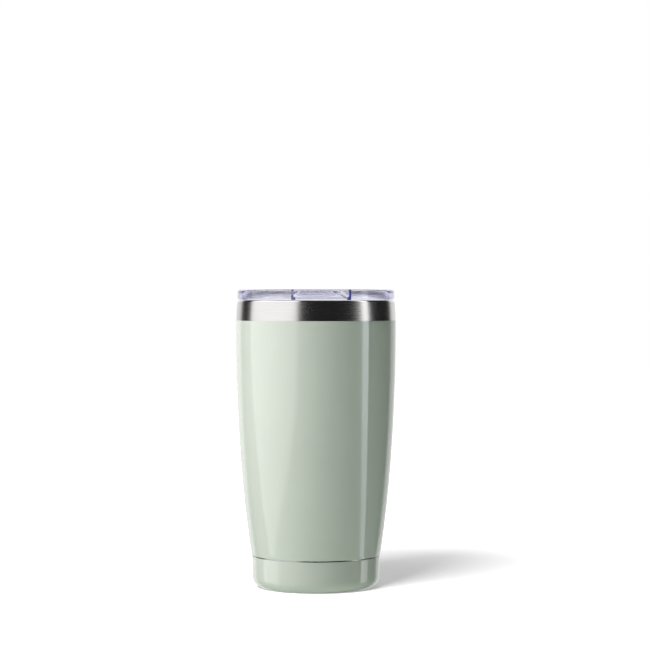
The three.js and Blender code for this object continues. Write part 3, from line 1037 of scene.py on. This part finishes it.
@dataclass
class Vessel:
    """The double-walled vessel."""

    walls: Walls
    edge: float = 0.08 * MM  # rounding of the coat's edge at the band
    soft: float = 0.3 * MM  # rounding of pressed edges
    seam_round: float = 0.12 * MM
    fine: float = 0.1 * MM  # smallest rounding
    dish: float = 0.3 * MM  # how far the liner's floor rises to its middle
    foil_gap: float = 0.3 * MM
    foil_t: float = 0.2 * MM
    pocket_r: float = 5 * MM
    pocket_h: float = 1 * MM
    port_r: float = 1.2 * MM
    stamp: Point = (0.55, 0.58)  # the stamped step of the disc, as shares of its radius
    stamp_h: float = 0.15 * MM
    stamp_round: float = 0.5 * MM
    solder_neck: float = 1.15 * MM
    solder_h: float = 0.85 * MM
    solder_foot: float = 0.75  # foot of the solder, as a share of its radius
    pill_round: float = 0.5 * MM
    levels: int = 60  # steps up a wall
    few_levels: int = 12  # steps up the bare band
    corner_steps: int = 24
    bend_steps: int = 20

    def shell(self) -> None:
        """Outer tube, with the bare band at the top."""
        w = self.walls
        step = w.band_z + w.fit
        covered = [(w.outside(z) - w.skin, z) for z in spread(w.seam_top, step, self.levels)]
        top = w.lip_z - w.lip_cap - w.fit
        bare = [(w.outside(z) - w.proud, z) for z in spread(step, top, self.few_levels)]
        heights = spread(top, w.seam_top, self.levels)
        inside = [(w.outside(z) - w.skin - w.steel, z) for z in heights]
        piece = turned("shell_tube", covered + bare + inside)
        settle(piece, BAND_STEEL, Body.VESSEL, Slot.STEEL, "outer_shell")

    def coat(self) -> None:
        """Gloss coat on the tube, with a soft edge at the band and at the seam."""
        w = self.walls
        outer = [(w.outside(z), z, 0.0) for z in spread(w.seam_top, w.band_z, self.levels)]
        inner = [(w.outside(z) - w.coat, z, 0.0) for z in spread(w.band_z, w.seam_top, self.levels)]
        outer[0] = (*outer[0][:2], self.edge * 2)
        outer[-1] = (*outer[-1][:2], self.edge)
        settle(turned("body_coat", rounded(outer + inner)), SAGE, Body.VESSEL, Slot.COAT, "shell_coat")

    def liner(self) -> None:
        """Liner with its lip turned out over the tube's edge."""
        w = self.walls
        heights = spread(w.weld_z + w.fit, w.lip_z - w.lip_cap, self.levels)
        inside = [(w.liner(z), z) for z in heights]
        half = (w.body_r - w.lip_in - w.proud - w.mouth_r) / 2
        centre = w.mouth_r + half
        edge_z = w.lip_z - w.lip_cap
        over = arc((0, 0), 1, 180, 0, self.bend_steps)
        crown = [(centre + half * x, edge_z + w.lip_cap * y) for x, y in over]
        outside = [(w.liner(z) + w.steel, z) for z in reversed(heights)]
        piece = turned("liner", inside + crown[1:] + outside)
        settle(piece, LINER_STEEL, Body.VESSEL, Slot.STEEL, "inner_liner")
        piece.data.materials.append(LIP_STEEL.material())
        for face in piece.data.polygons:
            if face.center.z > edge_z:
                face.material_index = 1

    def liner_floor(self) -> None:
        """Dished floor of the liner."""
        w = self.walls
        side = w.liner(w.weld_z)
        middle = side - w.liner_corner
        inner = arc((middle, w.weld_z), w.liner_corner, 0, -90, self.bend_steps)
        outer = arc((middle, w.weld_z), w.liner_corner + w.steel, -90, 0, self.bend_steps)
        across = spread(middle, 0, self.few_levels)
        dish = [(r, w.floor_z + self.dish * (1 - (r / middle) ** 2)) for r in across]
        under = [(0, w.floor_z - w.steel), (middle, w.floor_z - w.steel)]
        piece = turned("liner_floor", under + outer[1:] + inner + dish[1:])
        settle(piece, LINER_STEEL, Body.VESSEL, Slot.STEEL, "liner_base")

    def foil(self) -> None:
        """Copper foil round the liner."""
        w = self.walls
        low, high = low_z("copper_wrap"), high_z("copper_wrap")
        under = w.steel + self.foil_gap
        outer = [(w.liner(z) + under + self.foil_t, z) for z in spread(low, high, self.levels)]
        inner = [(w.liner(z) + under, z) for z in spread(high, low, self.levels)]
        settle(turned("foil_wrap", outer + inner), COPPER, Body.VESSEL, Slot.FOIL, "copper_wrap")

    def foot(self) -> None:
        """Drawn foot: collar, side, rounding, standing ring and plate with the port."""
        w = self.walls
        collar = w.outside(w.seam_top) - w.skin - w.steel - 2 * w.fit
        radius = w.foot_corner - w.skin
        ring_r = w.corner_r - w.ring
        plate = w.recess + w.steel
        pocket, ceiling, port, soft = self.pocket_r, w.recess + self.pocket_h, self.port_r, self.soft
        side = w.foot(w.seam_low) - w.skin
        outline = rounded(
            [
                (collar - w.steel, high_z("base_cup"), 0),
                (collar, high_z("base_cup"), self.fine),
                (collar, w.seam_low, 0),
                (side, w.seam_low, 0),
            ],
            closed=False,
        )
        outline += [(side, w.seam_low - self.seam_round)]
        outline += arc((w.corner_r, w.corner_z), radius, 0, -90, self.corner_steps)
        outline += rounded(
            [
                (w.corner_r, 0, 0),
                (ring_r, 0, soft),
                (ring_r, w.recess, soft / 2),
                (pocket, w.recess, soft / 2),
                (pocket, ceiling, 0),
                (port, ceiling, 0),
                (port, ceiling + w.steel, 0),
                (pocket + w.steel, ceiling + w.steel, soft / 2),
                (pocket + w.steel, plate, 0),
                (ring_r + w.steel, plate, soft / 2),
                (ring_r + w.steel, w.steel, soft / 2),
                (w.corner_r, w.steel, 0),
            ],
            closed=False,
        )[1:]
        outline += arc((w.corner_r, w.corner_z), radius - w.steel, -90, 0, self.bend_steps)[1:]
        outline += [(collar - w.steel, w.seam_low - w.steel)]
        settle(turned("foot_cup", outline), FOOT_STEEL, Body.VESSEL, Slot.STEEL, "base_cup")

    def foot_coat(self) -> None:
        """Gloss coat on the foot, which ends above the standing ring."""
        w = self.walls
        end = -math.degrees(math.asin((w.corner_z - w.coat) / w.foot_corner))
        outer = arc((w.corner_r, w.corner_z), w.foot_corner, 0, end, self.corner_steps)
        inner = arc((w.corner_r, w.corner_z), w.foot_corner - w.coat, end, 0, self.corner_steps)
        top = w.foot(w.seam_low)
        corners = [(top, w.seam_low, self.edge * 2), *((r, z, 0.0) for r, z in outer + inner)]
        corners += [(top - w.coat, w.seam_low, 0.0)]
        settle(turned("foot_coat", rounded(corners)), SAGE, Body.VESSEL, Slot.COAT, "base_coat")

    def disc(self) -> None:
        """Bare disc that covers the port, with a shallow stamped ring."""
        low, high = low_z("base_disc"), high_z("base_disc")
        r, soft = reach_of("base_disc"), self.soft
        outline = rounded(
            [
                (0, low + self.stamp_h, 0),
                (self.stamp[0] * r, low + self.stamp_h, self.stamp_round),
                (self.stamp[1] * r, low, self.stamp_round),
                (r, low, soft),
                (r, high, soft / 4),
                (0, high, 0),
            ],
            closed=False,
        )
        settle(turned("foot_disc", outline), FOOT_STEEL, Body.VESSEL, Slot.STEEL, "base_disc")

    def port(self) -> None:
        """Solder that seals the port."""
        low, high = low_z("port_plug"), high_z("port_plug")
        r, neck, shelf, fine = reach_of("port_plug"), self.solder_neck, low + self.solder_h, self.fine
        outline = rounded(
            [
                (0, low, 0),
                (self.solder_foot * r, low, 4 * fine),
                (r, (low + shelf) / 2, 2 * fine),
                (r, shelf, fine),
                (neck, shelf, fine),
                (neck, high - self.solder_h / 2, 3 * fine),
                (0, high, 0),
            ],
            closed=False,
        )
        settle(turned("port_seal", outline, SMALL), SOLDER, Body.VESSEL, Slot.SOLDER, "port_plug")

    def getter(self) -> None:
        """Getter and the strap that holds it down."""
        low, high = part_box("getter_capsule")
        middle, r = (low + high) / 2, (high.x - low.x) / 2
        soft = self.pill_round
        outline = rounded([(0, low.z, 0), (r, low.z, soft), (r, high.z, soft), (0, high.z, 0)], closed=False)
        pill = place(turned("getter_pill", outline, SMALL), Matrix.Translation((middle.x, middle.y, 0)))
        settle(pill, GETTER_CASE, Body.VESSEL, Slot.GETTER, "getter_capsule")
        strap = frame["nodes"]["getter_strap"]
        strap.data.materials.clear()
        strap.data.materials.append(GETTER_CASE.material())

    def build(self) -> None:
        """Builds every piece of the vessel."""
        walls = (self.shell, self.coat, self.liner, self.liner_floor, self.foil)
        bottom = (self.foot, self.foot_coat, self.disc, self.port, self.getter)
        for step in walls + bottom:
            step()


@dataclass
class Lid:
    """The clear lid, its gasket and its slider."""

    walls: Walls
    rim_round: float = 1.0 * MM
    rim_land: float = 0.9 * MM
    rim_slope: float = 1.9 * MM
    rim_chamfer: float = 0.6 * MM
    tray_drop: float = 1.5 * MM
    tray_t: float = 1.8 * MM
    skirt_t: float = 2.3 * MM
    plug_clear: float = 0.65 * MM
    groove_rise: float = 3.0 * MM
    groove_h: float = 4.0 * MM
    groove_d: float = 1.5 * MM
    seat: float = 0.1 * MM
    rail_x: float = 15.6 * MM
    rail_t: float = 1.2 * MM
    rail_drop: float = 0.3 * MM
    rail_over: float = 1.0 * MM
    rail_lip_t: float = 1.0 * MM
    slide_clear: float = 0.3 * MM
    plate_t: float = 1.8 * MM
    embed: float = 0.4 * MM
    stop: Point = (12 * MM, 1.2 * MM)
    stop_round: float = 0.5 * MM
    stop_edge: float = 0.2 * MM
    slot: Point = (20 * MM, 8 * MM)
    slot_round: float = 3.5 * MM
    slot_edge: float = 5 * MM
    slot_flare: float = 0.5 * MM
    slot_bend: float = 0.3  # where the flare begins to round over, as a share of it
    vent_r: float = 1.3 * MM
    vent_edge: float = 6 * MM
    vent_flare: float = 0.3 * MM
    plate_corner: float = 3 * MM
    plate_edge: float = 0.25 * MM
    ridge: Corner = (23.2 * MM, 5 * MM, 3.5 * MM)  # width, thickness and height of the thumb ridge
    ridge_y: float = 1.5 * MM
    ridge_edge: float = 0.5 * MM
    ridge_edge_steps: int = 4
    gasket_clear: float = 0.3 * MM
    fin_h: float = 0.9 * MM
    fin_slant: float = 0.3 * MM
    soft: float = 0.3 * MM  # rounding of moulded edges
    tray_round: float = 0.8 * MM
    curve_steps: int = 32
    corner_steps: int = 10
    rim_steps: int = 8

    @property
    def top(self) -> float:
        """Top of the rim."""
        return high_z("lid_body")

    @property
    def rim_r(self) -> float:
        """Outside radius of the rim."""
        return reach_of("lid_body")

    @property
    def tray_z(self) -> float:
        """Upper face of the tray."""
        return self.walls.lip_z - self.tray_drop

    @property
    def mouth_side(self) -> float:
        """Inside radius of the rim at its top."""
        return self.rim_r - 2 * self.rim_round - self.rim_land

    @property
    def tray_r(self) -> float:
        """Inside radius of the rim at the tray."""
        return self.mouth_side - self.rim_slope

    @property
    def slider_z(self) -> float:
        """Underside of the slider."""
        return self.tray_z + self.slide_clear / 2

    @property
    def channel(self) -> float:
        """Half the channel's width."""
        return self.rail_x - self.rail_t / 2

    def moulding(self) -> bpy.types.Object:
        """The lid's round moulding.

        Returns:
            The turned solid: rim, tray and plug.
        """
        w = self.walls
        skirt = w.mouth_r - self.plug_clear
        low = low_z("lid_body")
        groove = low + self.groove_rise
        rim_z = w.lip_z + self.seat
        under = self.tray_z - self.tray_t
        soft = self.soft
        corners = [
            (0, under, 0),
            (skirt - self.skirt_t, under, self.tray_round),
            (skirt - self.skirt_t, low, soft),
            (skirt, low, self.rim_chamfer),
            (skirt, groove, soft / 2),
            (skirt - self.groove_d, groove, soft),
            (skirt - self.groove_d, groove + self.groove_h, soft),
            (skirt, groove + self.groove_h, soft / 2),
            (skirt, rim_z, soft / 2),
            (self.rim_r - self.rim_chamfer, rim_z, soft / 2),
            (self.rim_r, rim_z + self.rim_chamfer, soft / 2),
            (self.rim_r, self.top, self.rim_round),
            (self.mouth_side, self.top, self.rim_round),
            (self.tray_r, self.tray_z, self.tray_round),
            (0, self.tray_z, 0),
        ]
        return turned("lid_clear", rounded(corners, steps=self.rim_steps, closed=False))

    def rail(self, side: int) -> bpy.types.Object:
        """One rail of the channel.

        Args:
            side: 1 for +X, -1 for -X.

        Returns:
            The rail, longer than the lid is wide.
        """
        foot, top = self.tray_z - self.embed, self.top - self.rail_drop
        ledge = self.slider_z + self.plate_t + self.slide_clear
        soft = self.soft
        inner, outer, tip = self.channel, self.channel + self.rail_t, self.channel - self.rail_over
        outline = rounded(
            [
                (outer, foot, 0),
                (outer, top, soft),
                (inner, top, soft),
                (inner, ledge + self.rail_lip_t, soft / 2),
                (tip, ledge + self.rail_lip_t, soft),
                (tip, ledge, soft / 2),
                (inner, ledge, soft / 2),
                (inner, foot, 0),
            ],
            steps=3,
        )
        outline = [(side * x, z) for x, z in outline]
        piece = extruded("rail", outline, -self.rim_r, self.rim_r)
        return place(piece, Matrix.Rotation(math.pi / 2, 4, "X"))

    def body(self) -> None:
        """Rim, tray and plug, with the channel joined on and the openings cut."""
        lid = self.moulding()
        high = self.top - self.rim_round
        foot = self.tray_z - self.embed
        slope = self.rim_slope / (high - self.tray_z)
        inside = [
            (0, foot),
            (self.tray_r - slope * self.embed + self.embed, foot),
            (self.mouth_side + self.embed, high),
            (self.mouth_side + self.embed, self.top),
            (0, self.top),
        ]
        for side in (1, -1):
            rail = combined(self.rail(side), turned("inside", inside), Cut.KEEP_COMMON)
            combined(lid, rail, Cut.JOIN)
        combined(lid, self.slider_stop(), Cut.JOIN)
        combined(lid, self.drink_slot(), Cut.REMOVE)
        combined(lid, self.vent(), Cut.REMOVE)
        smooth(lid.data)
        settle(lid, CLEAR, Body.LID, Slot.CLEAR, "lid_body")

    def slider_stop(self) -> bpy.types.Object:
        """Low ridge across the channel, which stops the open slider.

        Returns:
            The ridge.
        """
        half, soft = self.stop[0] / 2, self.stop_round
        front = back_of("slider") + self.travel() + self.slide_clear
        back = front + self.stop[1]
        corners = [(-half, front, soft), (half, front, soft), (half, back, soft), (-half, back, soft)]
        low, high = self.tray_z - self.embed, self.slider_z + self.plate_t / 2
        return eased(extruded("stop", rounded(corners, steps=4), low, high), self.stop_edge)

    def travel(self) -> float:
        """The slider's way from shut to open."""
        return next(j["range_m"][1] for j in frame["joints"] if j["child"] == Body.SLIDER.value)

    def drink_slot(self) -> bpy.types.Object:
        """Tool that cuts the drinking slot, flared towards both faces.

        Returns:
            The tool.
        """
        width, length = self.slot
        y = -(self.tray_r - self.slot_edge - length / 2)
        half_x, half_y, soft = width / 2, length / 2, self.slot_round
        corners = [(-half_x, y - half_y), (half_x, y - half_y), (half_x, y + half_y), (-half_x, y + half_y)]
        outline = rounded([(a, b, soft) for a, b in corners], steps=self.corner_steps)
        flare, bend = self.slot_flare, self.slot_flare * self.slot_bend
        middle = Vector((0, y))
        bm = bmesh.new()
        under, over = self.tray_z - self.tray_t, self.tray_z
        shape = [(under - flare, 2 * flare), (under, flare), (under + bend, bend), (under + flare, 0)]
        shape += [(over - flare, 0), (over - bend, bend), (over, flare), (over + flare, 2 * flare)]
        rows = []
        for z, grow in shape:
            row = []
            for x, py in outline:
                away = Vector((x, py)) - middle
                away = Vector((away.x * (1 + grow / half_x), away.y * (1 + grow / half_y)))
                row.append(bm.verts.new((middle.x + away.x, middle.y + away.y, z)))
            rows.append(row)
        for low, high in zip(rows, rows[1:]):
            for i in range(len(outline)):
                j = (i + 1) % len(outline)
                bm.faces.new((low[i], low[j], high[j], high[i]))
        bm.faces.new(rows[0])
        bm.faces.new(rows[-1])
        return finish_mesh("slot", bm)

    def vent(self) -> bpy.types.Object:
        """Tool that cuts the air vent, flared at its upper face.

        Returns:
            The tool.
        """
        low, high = self.tray_z - 2 * self.tray_t, self.tray_z + self.tray_t
        r, flare = self.vent_r, self.vent_flare
        outline = [(0, low), (r, low), (r, self.tray_z - flare), (r + 2 * flare, self.tray_z + flare)]
        outline += [(r + 2 * flare, high), (0, high)]
        away = Matrix.Translation((0, self.tray_r - self.vent_edge, 0))
        return place(turned("vent", outline, SMALL), away)

    def gasket(self) -> None:
        """Silicone ring with two soft fins."""
        w = self.walls
        low, high = low_z("lid_gasket"), high_z("lid_gasket")
        inner = w.mouth_r - self.plug_clear - self.groove_d + self.gasket_clear
        face = w.mouth_r - self.plug_clear - self.gasket_clear / 2
        fin, soft = reach_of("lid_gasket"), self.soft / 2
        corners = [
            (inner, low, soft),
            (face, low, soft / 2),
            (fin, low + self.fin_slant, soft),
            (face, low + self.fin_h, soft),
            (face, high - self.fin_h, soft),
            (fin, high - self.fin_h + self.fin_slant, soft),
            (face, high, soft / 2),
            (inner, high, soft),
        ]
        piece = turned("gasket", rounded(corners))
        settle(piece, SILICONE, Body.LID, Slot.SILICONE, "lid_gasket")

    def slider(self) -> None:
        """Shutter plate with its curved front, and the arched thumb ridge on it."""
        half = self.channel - self.slide_clear
        front = self.tray_r - 2 * self.slide_clear
        swing = math.degrees(math.asin(half / front))
        back = back_of("slider")
        corner, top = self.plate_corner, self.slider_z + self.plate_t
        plan = arc((0, 0), front, -90 - swing, -90 + swing, self.curve_steps)
        plan += arc((half - corner, back - corner), corner, 0, 90, self.corner_steps)
        plan += arc((corner - half, back - corner), corner, 90, 180, self.corner_steps)
        piece = eased(extruded("slider_clear", plan, self.slider_z, top), self.plate_edge)
        width, thick, tall = self.ridge
        bend = (width**2 / 4 + tall**2) / (2 * tall)
        lean = math.degrees(math.asin(width / 2 / bend))
        arch = arc((0, tall - bend), bend, 90 - lean, 90 + lean, self.curve_steps)
        arch += [(-width / 2, -self.embed), (width / 2, -self.embed)]
        ridge = extruded("ridge", arch, -thick / 2, thick / 2)
        ridge = eased(ridge, self.ridge_edge, self.ridge_edge_steps)
        turn = Matrix.Rotation(math.pi / 2, 4, "X")
        lift = Matrix.Translation((0, self.ridge_y, top))
        combined(piece, place(ridge, lift @ turn), Cut.JOIN)
        smooth(piece.data)
        settle(piece, CLEAR, Body.SLIDER, Slot.CLEAR, "slider")

    def build(self) -> None:
        """Builds every piece of the lid."""
        for step in (self.body, self.gasket, self.slider):
            step()


# ---- Studio ----
EVEN = ((0, 0), (0.06, 1), (0.94, 1), (1, 0))  # glow across a softbox
STRIPED = (
    *((0, 0), (0.3, 0.08), (0.46, 0.2), (0.54, 0.5), (0.63, 1)),
    *((0.72, 1), (0.79, 0.8), (0.85, 1), (0.93, 1), (1, 0)),
)  # two bright stripes, with a slow rise on the left
ONE_SIDED = ((0, 0), (0.12, 0.5), (0.2, 1), (0.3, 0.55), (0.75, 0.5), (1, 0))
COATS = ("body_coat", "foot_coat")


@dataclass(frozen=True)
class Outline:
    """Outline of a curved panel, in degrees, with azimuths from the camera's."""

    rise: Point  # elevations of its lower and upper edge
    left: float
    right: float
    lean: float = 0.0  # how far its left side moves per degree below level
    bend: Point = (0.0, 0.0)  # how far its sides move per square degree below level

    def rows(self, steps: int) -> list[Corner]:
        """Its sides at evenly spaced elevations.

        Args:
            steps: number of steps from the lower to the upper edge.

        Returns:
            Rows of (elevation, left azimuth, right azimuth).
        """
        made = []
        for e in spread(*self.rise, steps):
            below = min(e, 0.0)
            left = self.left + self.lean * below + self.bend[0] * below**2
            made.append((e, left, self.right + self.bend[1] * below**2))
        return made


@dataclass
class Studio:
    """Pale floor, soft light and the camera."""

    lip_z: float
    heading: float = -4.4
    distance: float = 1.2
    lens: float = 117.9
    aim_right: float = 5.1 * MM
    aim_down: float = 14.1 * MM
    floor_r: float = 3.0
    floor_t: float = 1 * MM
    floor_gap: float = 0.02 * MM  # keeps the floor just clear of the standing ring
    panel_r: float = 1.0
    panel_gap: float = 0.005  # between one panel and the next one out
    panel_steps: int = 24
    fade_span: Point = (0.1, 0.45)  # where a fading panel brightens, as shares of its height
    sweep: Point = (0.66, 0.8)  # cosines between which the white behind the object sets in
    softbox: Outline = Outline((-24, 48), -108.5, -23, -0.82, (0.0, -0.1095))
    softbox_foot: Outline = Outline((-24, 48), -108.5, -69)
    strip: Outline = Outline((-27, 48), 54.5, 80.5, 0.0, (0.033, 0.033))
    strip_foot: Outline = Outline((-24, 48), 86, 107)
    softbox_glow: float = 1.55
    room: Colour = (0.02, 0.02, 0.021, 1.0)
    ambient: Colour = (0.05, 0.053, 0.051, 1.0)
    blush: Colour = (1.0, 0.9, 0.985, 1.0)
    cool: Colour = (0.93, 1.0, 1.06, 1.0)
    panels: list[str] = field(default_factory=list)

    def towards(self, azimuth: float, distance: float, z: float) -> Vector:
        """A place at an azimuth counted from the camera's own.

        Args:
            azimuth: degrees to the camera's right.
            distance: distance from the axis.
            z: height.

        Returns:
            The place.
        """
        a = math.radians(self.heading + azimuth)
        return Vector((distance * math.sin(a), -distance * math.cos(a), z))

    def camera(self) -> None:
        """Camera level with the lip."""
        data = bpy.data.cameras.new("camera")
        data.lens = self.lens
        made = bpy.data.objects.new("camera", data)
        bpy.context.scene.collection.objects.link(made)
        made.location = self.towards(0, self.distance, self.lip_z)
        target = self.towards(90, self.aim_right, self.lip_z - self.aim_down)
        made.rotation_euler = (target - made.location).to_track_quat("-Z", "Y").to_euler()
        bpy.context.scene.camera = made

    def floor(self) -> None:
        """Round white table top."""
        edge, under = self.floor_r, -self.floor_t
        ring = [(0, 0), (edge / 3, 0), (edge, 0), (edge, under), (0, under)]
        made = turned("floor", ring, SMALL)
        made.data.materials.append(TABLE.material())
        made.location.z = -self.floor_gap
        made.visible_glossy = False

    def lamp(
        self,
        name: str,
        place_at: Vector,
        size: float,
        power: float,
        lit: list[str],
        tint: Colour = WHITE,
        glossy: bool = True,
    ) -> None:
        """Soft square light, aimed at the middle of the object.

        Args:
            name: name of the light.
            place_at: its place.
            size: length of its sides.
            power: its power in watts.
            lit: names of the pieces that it lights.
            tint: its colour.
            glossy: whether it is seen in glossy and clear surfaces.
        """
        data = bpy.data.lights.new(name, "AREA")
        data.shape, data.size, data.energy = "SQUARE", size, power
        data.color = tint[:3]
        made = bpy.data.objects.new(name, data)
        bpy.context.scene.collection.objects.link(made)
        made.location = place_at
        middle = Vector((0, 0, self.lip_z / 2))
        made.rotation_euler = (middle - place_at).to_track_quat("-Z", "Y").to_euler()
        made.visible_camera = False
        made.visible_glossy = glossy
        made.visible_transmission = glossy
        self.link(made, lit)

    def panel(
        self,
        name: str,
        outline: Outline,
        glow: float,
        profile: tuple[Point, ...],
        lit: list[str],
        tint: Colour = WHITE,
        fade: float = 1.0,
    ) -> bpy.types.Object:
        """Glowing panel bent round the object.

        Args:
            name: name of the panel.
            outline: its outline.
            glow: strength of its light.
            profile: rows of (share of its width, share of the glow).
            lit: names of the pieces that it lights.
            tint: colour of its light.
            fade: share of the glow that is left along its lower edge.

        Returns:
            The panel.
        """
        bm = bmesh.new()
        uv = bm.loops.layers.uv.new("panel")
        shares = spread(0, 1, self.panel_steps)
        radius = self.panel_r + self.panel_gap * len(self.panels)
        self.panels.append(name)
        rows = []
        for elevation, first, last in outline.rows(self.panel_steps):
            z = self.lip_z / 2 + radius * math.tan(math.radians(elevation))
            row = [bm.verts.new(self.towards(first + (last - first) * s, radius, z)) for s in shares]
            rows.append(row)
        rises = spread(0, 1, len(rows) - 1)
        for low, high, below, above in zip(rows, rows[1:], rises, rises[1:]):
            for i in range(self.panel_steps):
                face = bm.faces.new((low[i], low[i + 1], high[i + 1], high[i]))
                for loop, k, rise in zip(face.loops, (i, i + 1, i + 1, i), (below, below, above, above)):
                    loop[uv].uv = (shares[k], rise)
        mesh = bpy.data.meshes.new(name)
        bm.to_mesh(mesh)
        bm.free()
        made = bpy.data.objects.new(name, mesh)
        bpy.context.scene.collection.objects.link(made)
        material = bpy.data.materials.new(name)
        material.use_nodes = True
        material.node_tree.nodes.clear()
        tree = Tree(material.node_tree)
        along = tree.node("ShaderNodeSeparateXYZ", {0: tree.node("ShaderNodeTexCoord").outputs["UV"]}).outputs
        curve = tree.node("ShaderNodeValToRGB", {0: along[0]})
        stops = curve.color_ramp.elements
        stops[0].position, stops[1].position = profile[0][0], profile[-1][0]
        for share, _ in profile[1:-1]:
            stops.new(share)
        for stop, (_, level) in zip(stops, profile):
            stop.color = (level, level, level, 1.0)
        upward = tree.ramp(along[1], *self.fade_span, glow * fade, glow)
        strength = tree.math("MULTIPLY", curve.outputs[0], upward)
        light = tree.node("ShaderNodeEmission", {"Color": tint, "Strength": strength}).outputs[0]
        open_air = tree.node("ShaderNodeBsdfTransparent").outputs[0]
        both = tree.node("ShaderNodeAddShader", {0: light, 1: open_air}).outputs[0]
        tree.node("ShaderNodeOutputMaterial", {"Surface": both})
        mesh.materials.append(material)
        made.visible_camera = False
        made.visible_transmission = False
        made.visible_shadow = False
        self.link(made, lit)
        return made

    def link(self, light: bpy.types.Object, lit: list[str]) -> None:
        """Keeps a light to some pieces.

        Args:
            light: the lamp or panel.
            lit: names of the pieces that it lights.
        """
        group = bpy.data.collections.new(f"lit_by_{light.name}")
        for piece in lit:
            group.objects.link(bpy.data.objects[piece])
        light.light_linking.receiver_collection = group

    def world(self) -> None:
        """White to look at, white behind the object, and a dim room round the camera."""
        made = bpy.data.worlds.new("studio")
        bpy.context.scene.world = made
        made.use_nodes = True
        made.node_tree.nodes.clear()
        tree = Tree(made.node_tree)
        away = -self.towards(0, 1, 0)
        view = tree.node("ShaderNodeTexCoord").outputs["Generated"]
        facing = tree.vector("DOT_PRODUCT", view, tuple(away)).outputs[1]
        behind = tree.ramp(facing, *self.sweep)
        path = tree.node("ShaderNodeLightPath").outputs
        inside = tree.math("GREATER_THAN", path["Transmission Depth"], 0.5)
        seen = tree.math("MAXIMUM", path["Is Camera Ray"], inside)
        white = tree.math("MAXIMUM", behind, seen)
        room = tree.blend(path["Is Diffuse Ray"], self.room, self.ambient)
        colour = tree.blend(white, room, WHITE)
        light = tree.node("ShaderNodeBackground", {"Color": colour}).outputs[0]
        tree.node("ShaderNodeOutputWorld", {"Surface": light})

    def lights(self) -> None:
        """Panels that the gloss and the steel mirror, and lamps that fill and cast the shadow."""
        pieces = [o.name for o in bpy.context.scene.objects if o.type == "MESH" and o.name != "floor"]
        bare = [n for n in pieces if n not in COATS]
        body, foot = ([n] for n in COATS)
        glow = self.softbox_glow
        self.panel("softbox_bare", self.softbox, glow, EVEN, bare)
        self.panel("softbox_body", self.softbox, 1.6, EVEN, body, self.blush)
        wash = self.panel("softbox_wash", self.softbox, glow, EVEN, foot, self.blush)
        wash.visible_glossy = False
        mirrored = [
            self.panel("softbox_foot", self.softbox_foot, glow, EVEN, foot, self.blush),
            self.panel("strip_bare", self.strip, 2.3, STRIPED, bare),
            self.panel("strip_body", self.strip, 5.2, STRIPED, body, self.cool, fade=0.5),
            self.panel("strip_foot", self.strip_foot, 4.5, ONE_SIDED, foot),
        ]
        for panel in mirrored:
            panel.visible_diffuse = False
        above = Vector((0, 0.1, 1.6))
        left, front = self.towards(-67, 0.95, 0.85), self.towards(-29, 1.0, 0.98)
        self.lamp("top_soft", above, size=2.4, power=3, lit=[*bare, "floor"])
        self.lamp("key_left", left, size=0.6, power=10, lit=pieces, tint=self.blush, glossy=False)
        self.lamp("key_floor", front, size=0.62, power=26, lit=["floor"], glossy=False)

    def build(self) -> None:
        """Builds the studio."""
        self.camera()
        self.floor()
        self.world()
        self.lights()
        view = bpy.context.scene.view_settings
        view.view_transform, view.look = "Standard", "None"


def main() -> None:
    """Builds the tumbler and its studio, and reports each piece."""
    logging.basicConfig(level=logging.INFO, format="%(name)s: %(message)s")
    walls = Walls()
    for part in (Vessel(walls), Lid(walls), Studio(walls.lip_z)):
        log.info("building the %s", type(part).__name__.lower())
        part.build()


if __name__ == "__main__":
    main()
